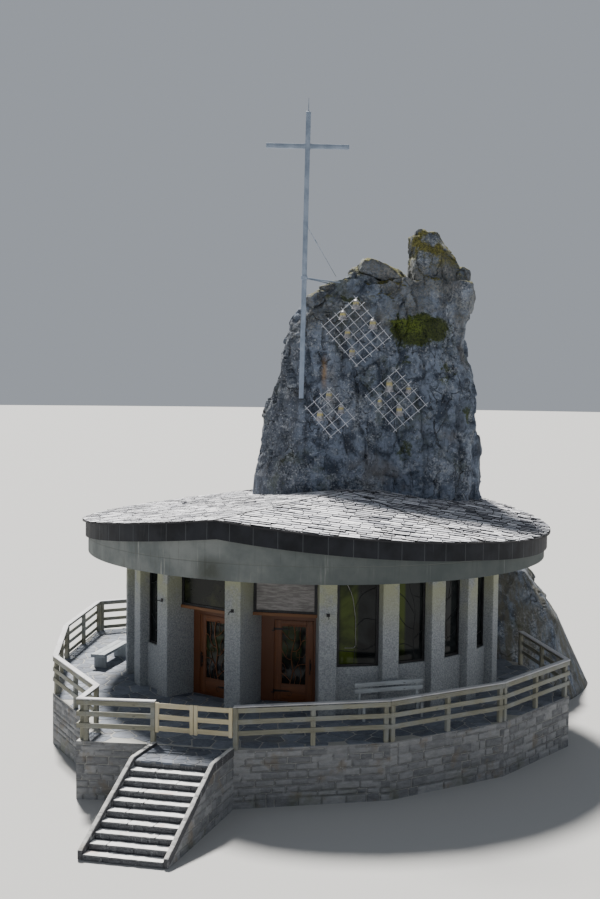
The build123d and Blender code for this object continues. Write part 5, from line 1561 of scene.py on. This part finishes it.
def make_gate():
    """Two leaves of newer timber: three boards between two uprights, with strap hinges."""
    width = GATE_W / 2 - 0.018
    hinge_x = GATE_W / 2 - 0.017 - 0.012
    for side, name in ((-1, "left"), (1, "right")):
        body = f"gate_{name}"
        outer = side * (GATE_W / 2 - 0.012)
        low, high = sorted((outer, outer - side * width))
        wood = Stock()
        place = Place(gate_place.at(0.0, 0.0, TERRACE), gate_place.along, gate_place.across)
        upright = place.standing()
        for x in (low, high - 0.09):
            plank(wood, upright, 0.71, (x, x + 0.09), (-0.012, 0.03), edge=0.006, start=0.29)
        for number in range(3):
            z = RAIL_TOP - RAIL_STEP * number
            plank(wood, place, high - low - 0.004, (0.0, 0.028), (z - RAIL_H / 2, z + RAIL_H / 2),
                  start=low + 0.002)
        wood.piece(f"gate_{name}_boards", new_larch, "gate_wood", body, (f"gate_{name}_leaf",))
        iron = Stock()
        for number in (0, 2):
            z = RAIL_TOP - RAIL_STEP * number
            gate_strap(iron, place, side * hinge_x, 0.055, z, -side)
        iron.piece(f"gate_{name}_irons", black_iron, "dark_steel", body, (f"gate_{name}_straps",))


def gate_strap(stock, place, x, y, height, way):
    """A strap on the inner face of a gate leaf, with an eye round its pin."""
    make_eye(stock, place, x, y, height)
    low, high = sorted((x, x + way * 0.3))
    plank(stock, place, high - low, (0.03, 0.038), (height - 0.028, height + 0.028), edge=0.002, start=low)


# Benches

def make_benches():
    azimuth = (RIGHT_AZ[0] + RIGHT_AZ[2]) / 2
    wood = Stock()
    base = bay_place(azimuth)
    place = Place(base.at(0.0, -PIER_R - 0.07, 0.0), base.along, base.across)
    under, front, rear = 0.448, -0.398, -0.032
    for x in (-0.8, 0.8):
        upright = place.standing()
        for y0, y1, top in (
                (front, front + 0.07, under), (rear - 0.07, rear, under), (rear - 0.032, rear, 0.93)):
            plank(wood, upright, top, (x - 0.035, x + 0.035), (y0, y1), edge=0.005)
        cross_place = Place(place.at(x, 0.0, 0.0), place.across, -place.along)
        plank(wood, cross_place, rear - front, (-0.035, 0.035), (under - 0.07, under), edge=0.004, start=front)
    slat = (0.366 - 0.024) / 3
    for number in range(3):
        start = -0.43 + (slat + 0.012) * number
        plank(wood, place, 1.9, (start, start + slat), (under, 0.48), edge=0.005, start=-0.95)
    for top in (0.93, 0.77):
        plank(wood, place, 1.9, (rear - 0.064, rear - 0.032), (top - 0.11, top), edge=0.005, start=-0.95)
    wood.piece("bench_right_slats", bench_wood, "bench_wood", replaces=("bench_right",))
    wood = Stock()
    place = level_place(-(PIER_R + 0.544), 0.0, TERRACE, -103)
    upright = place.standing()
    for x in (-0.75, 0.75):
        plank(wood, upright, 0.36, (x - 0.035, x + 0.035), (-0.195, 0.195), edge=0.01)
    for y0, y1 in ((-0.215, -0.004), (0.004, 0.215)):
        plank(wood, place, 2.0, (y0, y1), (0.36, 0.45), edge=0.012, start=-1.0)
    wood.piece("bench_left_planks", bench_wood, "bench_wood", replaces=("bench_left",))


# Bells and their lattices

# For each lattice: its head's place across and height above the terrace, its depth, its lengths up and down
# the slant, and the number of bars each way
LATTICES = {
    "bell_lattice_top": ((0.15, 10.33), 1.93, 1.35, 1.62, 6, 7),
    "bell_lattice_right": ((1.53, 8.15), 1.70, 1.24, 1.40, 5, 6),
    "bell_lattice_left": ((-0.33, 7.75), 1.64, 0.91, 1.16, 4, 5),
}
# For each row of bells: its lattice, and each bell's crossing up and down the slant, diameter and height
BELLS = {
    "bells_top": ("bell_lattice_top", ((5, 0, 0.29, 0.30), (3, 0, 0.28, 0.29), (5, 3, 0.30, 0.31),
                                       (2, 2, 0.26, 0.27), (1, 4, 0.25, 0.26))),
    "bells_right": ("bell_lattice_right", ((3, 0, 0.30, 0.42), (1, 1, 0.21, 0.23), (4, 2, 0.21, 0.23),
                                           (2, 3, 0.26, 0.32))),
    "bells_left": ("bell_lattice_left", ((3, 0, 0.27, 0.29), (1, 1, 0.29, 0.31), (3, 2, 0.25, 0.26))),
}


def lattice_place(name):
    (x, height), y = LATTICES[name][:2]
    a, lean = radians(41), radians(6)
    tip = np.array(((1, 0, 0), (0, cos(lean), sin(lean)), (0, -sin(lean), cos(lean))))
    along = tip @ np.array((cos(a), 0, sin(a)))
    up = tip @ np.array((-sin(a), 0, cos(a)))
    return Place((x, y, TERRACE + height), along, np.cross(up, along))


def make_lattices():
    """Thin bright bars crossed on the slant, tied at their crossings, with pins back into the rock."""
    for name, (_, _, up_length, down_length, up_bars, down_bars) in LATTICES.items():
        place = lattice_place(name)
        stock = Stock()
        spare = 0.055
        for number in range(down_bars):
            z = -number * down_length / (down_bars - 1) + draw.normal(0, 0.003)
            x = np.linspace(-spare - draw.uniform(0, 0.06), up_length + spare + draw.uniform(0, 0.1), 5)
            tube(stock, place.at(x, -0.006 + 0 * x, z + draw.normal(0, 0.002, 5)), 0.009, 8)
        for number in range(up_bars):
            x = number * up_length / (up_bars - 1) + draw.normal(0, 0.003)
            z = np.linspace(-down_length - spare - draw.uniform(0, 0.08), spare + draw.uniform(0, 0.06), 5)
            tube(stock, place.at(x + draw.normal(0, 0.002, 5), 0.008 + 0 * z, z), 0.009, 8)
        for x in (0, up_length):
            for z in (0, -down_length):
                path = np.array([(x, y, z) for y in (0.0, 0.3, 0.62)])
                tube(stock, place.path(path), 0.012, 8)
        stock.piece(name + "_bars", bright_bar, "lattice_metal", replaces=(name,))


def make_bells():
    """Cast bells: a profile of waist, shoulder and flared lip turned about its axis, inside and out, with
    cast bands, a crown and a clapper."""
    outer = np.array(((1.0, 0.0), (1.0, 0.035), (0.93, 0.09), (0.86, 0.14), (0.875, 0.155), (0.84, 0.175),
                      (0.745, 0.34), (0.68, 0.52), (0.63, 0.68), (0.645, 0.70), (0.615, 0.72), (0.585, 0.82),
                      (0.50, 0.91), (0.30, 0.97), (0.06, 1.0)))
    for name, (lattice, places) in BELLS.items():
        _, _, up_length, down_length, up_bars, down_bars = LATTICES[lattice]
        frame_place = lattice_place(lattice)
        stock, irons = Stock(), Stock()
        for up, down, diameter, height in places:
            spot = frame_place.at(up * up_length / (up_bars - 1), 0.0, -down * down_length / (down_bars - 1))
            y = spot[1] - diameter * 0.8
            top = spot[2] - 0.012
            mouth = top - 0.04 - height
            side = outer * np.array((diameter / 2, height))
            inner = np.column_stack((np.maximum(0.004, side[:, 0] - 0.014), side[:, 1] * (1 - 0.02 / height)))
            line = np.concatenate((inner[::-1], side))
            turn = np.arange(26) * 2 * pi / 26
            rings = np.stack((
                spot[0] + line[:, :1] * np.cos(turn), y + line[:, :1] * np.sin(turn),
                mouth + np.broadcast_to(line[:, 1:], (len(line), 26))), -1)
            stock.skin(rings, line[:, 1:] / height)
            tube(irons, [(spot[0], y, mouth + height - 0.01), (spot[0], y, top + 0.01)], 0.009, 8)
            loop = np.linspace(0, 2 * pi, 15)
            eye = spot[0] + 0.022 * np.cos(loop), y + 0 * loop, top - 0.018 + 0.022 * np.sin(loop)
            tube(irons, np.stack(eye, -1), 0.005, 6)
            clapper = (height * 0.9, 0.05, 0.03, -0.01, -0.02)
            tube(irons, [(spot[0], y, mouth + z) for z in clapper],
                 np.array((0.004, 0.005, 0.018, 0.016, 0.004)), 8)
            arm = Place((spot[0], spot[1], top), (0, -1, 0), (1, 0, 0))
            plank(irons, arm, spot[1] - y + 0.012, (-0.012, 0.012), (-0.024, 0.0), edge=0.003)
        stock.piece(name + "_cast", bronze, "bronze", replaces=(name,), angle=25)
        irons.piece(name + "_irons", bright_bar, "lattice_metal")


# Cross and hooks

def make_cross():
    """Square steel tube with rounded edges: a mast in two lengths with a sleeve, an arm with end caps, a rod,
    a bolted collar with two struts, and a thin stay."""
    lean = radians(0.8)
    foot = np.array((-0.51, 1.5, TERRACE + 8.05))
    along, across = (sin(lean), 0, cos(lean)), (cos(lean), 0, -sin(lean))
    place = Place(foot, along, across)
    mast = Stock()
    plank(mast, place, 8.82, (-0.075, 0.075), (-0.075, 0.075), edge=0.010)
    plank(mast, place, 0.26, (-0.078, 0.078), (-0.078, 0.078), edge=0.004, start=5.25)
    mast.piece("mast_tube", cross_steel, "cross_steel", replaces=("cross_mast",))
    arm = Stock()
    bar_place = Place(place.at(7.76, 0.0, 0.0), across, (0, 1, 0))
    for start, end in ((-1.28, -0.075), (0.075, 1.28)):
        plank(arm, bar_place, end - start, (-0.07, 0.07), (-0.07, 0.07), edge=0.009, start=start)
    for x in (-1.28, 1.272):
        plank(arm, bar_place, 0.008, (-0.066, 0.066), (-0.066, 0.066), edge=0.002, start=x)
    for x in (-0.13, 0.075):
        plank(arm, bar_place, 0.055, (-0.076, 0.076), (-0.076, 0.076), edge=0.004, start=x)
    arm.piece("cross_arm_tube", cross_steel, "cross_steel", replaces=("cross_arm",))
    rod = Stock()
    tube(rod, place.at(np.array((8.82, 9.0, 9.2, 9.25)), 0.0, 0.0), np.array((0.012, 0.011, 0.008, 0.002)), 8)
    tube(rod, place.at(np.array((8.815, 8.85)), 0.0, 0.0), 0.03, 10)
    rod.piece("air_rod", cross_steel, "cross_steel", replaces=("lightning_rod",))
    collar = Stock()
    plank(collar, place, 0.12, (-0.1, 0.1), (-0.1, 0.1), edge=0.005, start=3.68)
    for x, y in ((0.56, 3.3), (1.5, 3.5)):
        start = place.at(3.74, 0.0, 0.0)
        end = place.at(3.68, x + 0.51, y - 1.5)
        tube(collar, np.linspace(start, end, 4), 0.022, 10)
    collar.piece("mast_collar_band", cross_steel, "cross_steel", replaces=("mast_collar",))
    stay = Stock()
    start, end = place.at(5.4, 0.0, 0.0), place.at(3.95, 1.01, 1.8)
    tube(stay, np.linspace(start, end, 6), 0.008, 8)
    tube(stay, np.linspace(start + (end - start) * 0.28, start + (end - start) * 0.36, 3), 0.016, 8)
    stay.piece("mast_stay_wire", cross_steel, "cross_steel", replaces=("mast_stay",))


def make_hooks():
    """Forged hooks on three piers: a square plate and a bar that curls up at its end."""
    stock = Stock()
    for azimuth in HOOK_PIERS:
        place = bay_place(azimuth)
        upright = place.standing()
        plank(stock, upright, 0.09, (-0.045, 0.045), (-PIER_R - 0.010, -PIER_R), edge=0.002, start=2.595)
        path = smooth_line([(-PIER_R - 0.01, 2.64), (-PIER_R - 0.12, 2.645), (-PIER_R - 0.19, 2.63),
                            (-PIER_R - 0.215, 2.59), (-PIER_R - 0.20, 2.57)], 20)
        tube(stock, place.at(0.0, path[:, 0], path[:, 1]), 0.009, 8)
        brace = smooth_line([(-PIER_R - 0.008, 2.60), (-PIER_R - 0.06, 2.61), (-PIER_R - 0.10, 2.64)], 10)
        tube(stock, place.at(0.0, brace[:, 0], brace[:, 1]), 0.006, 8)
    stock.piece("pier_hook_irons", black_iron, "dark_steel", replaces=("pier_hooks",))


def finish_nodes():
    """Gives every solid that stays in view its material."""
    finishes = {
        "ring_beam": concrete, "ceiling_slab": concrete, "roof_deck": lintel_wood, "fascia_band": fascia,
        "slate_roof": underlay, "sill_walls": roughcast, "window_frames": black_iron, "window_glass": glass,
        "transom_frames": black_iron, "transom_glass": transom_glass, "lintel_boards": lintel_wood,
        "rubble_wall_right": rubble, "rubble_wall_left": rubble, "door_left_frame": door_wood,
        "door_right_frame": door_wood, "door_left_glass": door_glass, "door_right_glass": door_glass,
        "door_pintles": black_iron, "gate_pintles": black_iron, "mast_shoe": dull_steel,
    }
    for name, node in nodes.items():
        node.data.materials.clear()
        node.data.materials.append(finishes.get(name, mortar))


make_camera()
make_light()
make_floor()
finish_nodes()
make_the_rock()
make_slates()
make_paving()
make_terrace_wall()
make_stair()
make_piers()
make_leads()
make_doors()
make_fence()
make_gate()
make_benches()
make_lattices()
make_bells()
make_cross()
make_hooks()
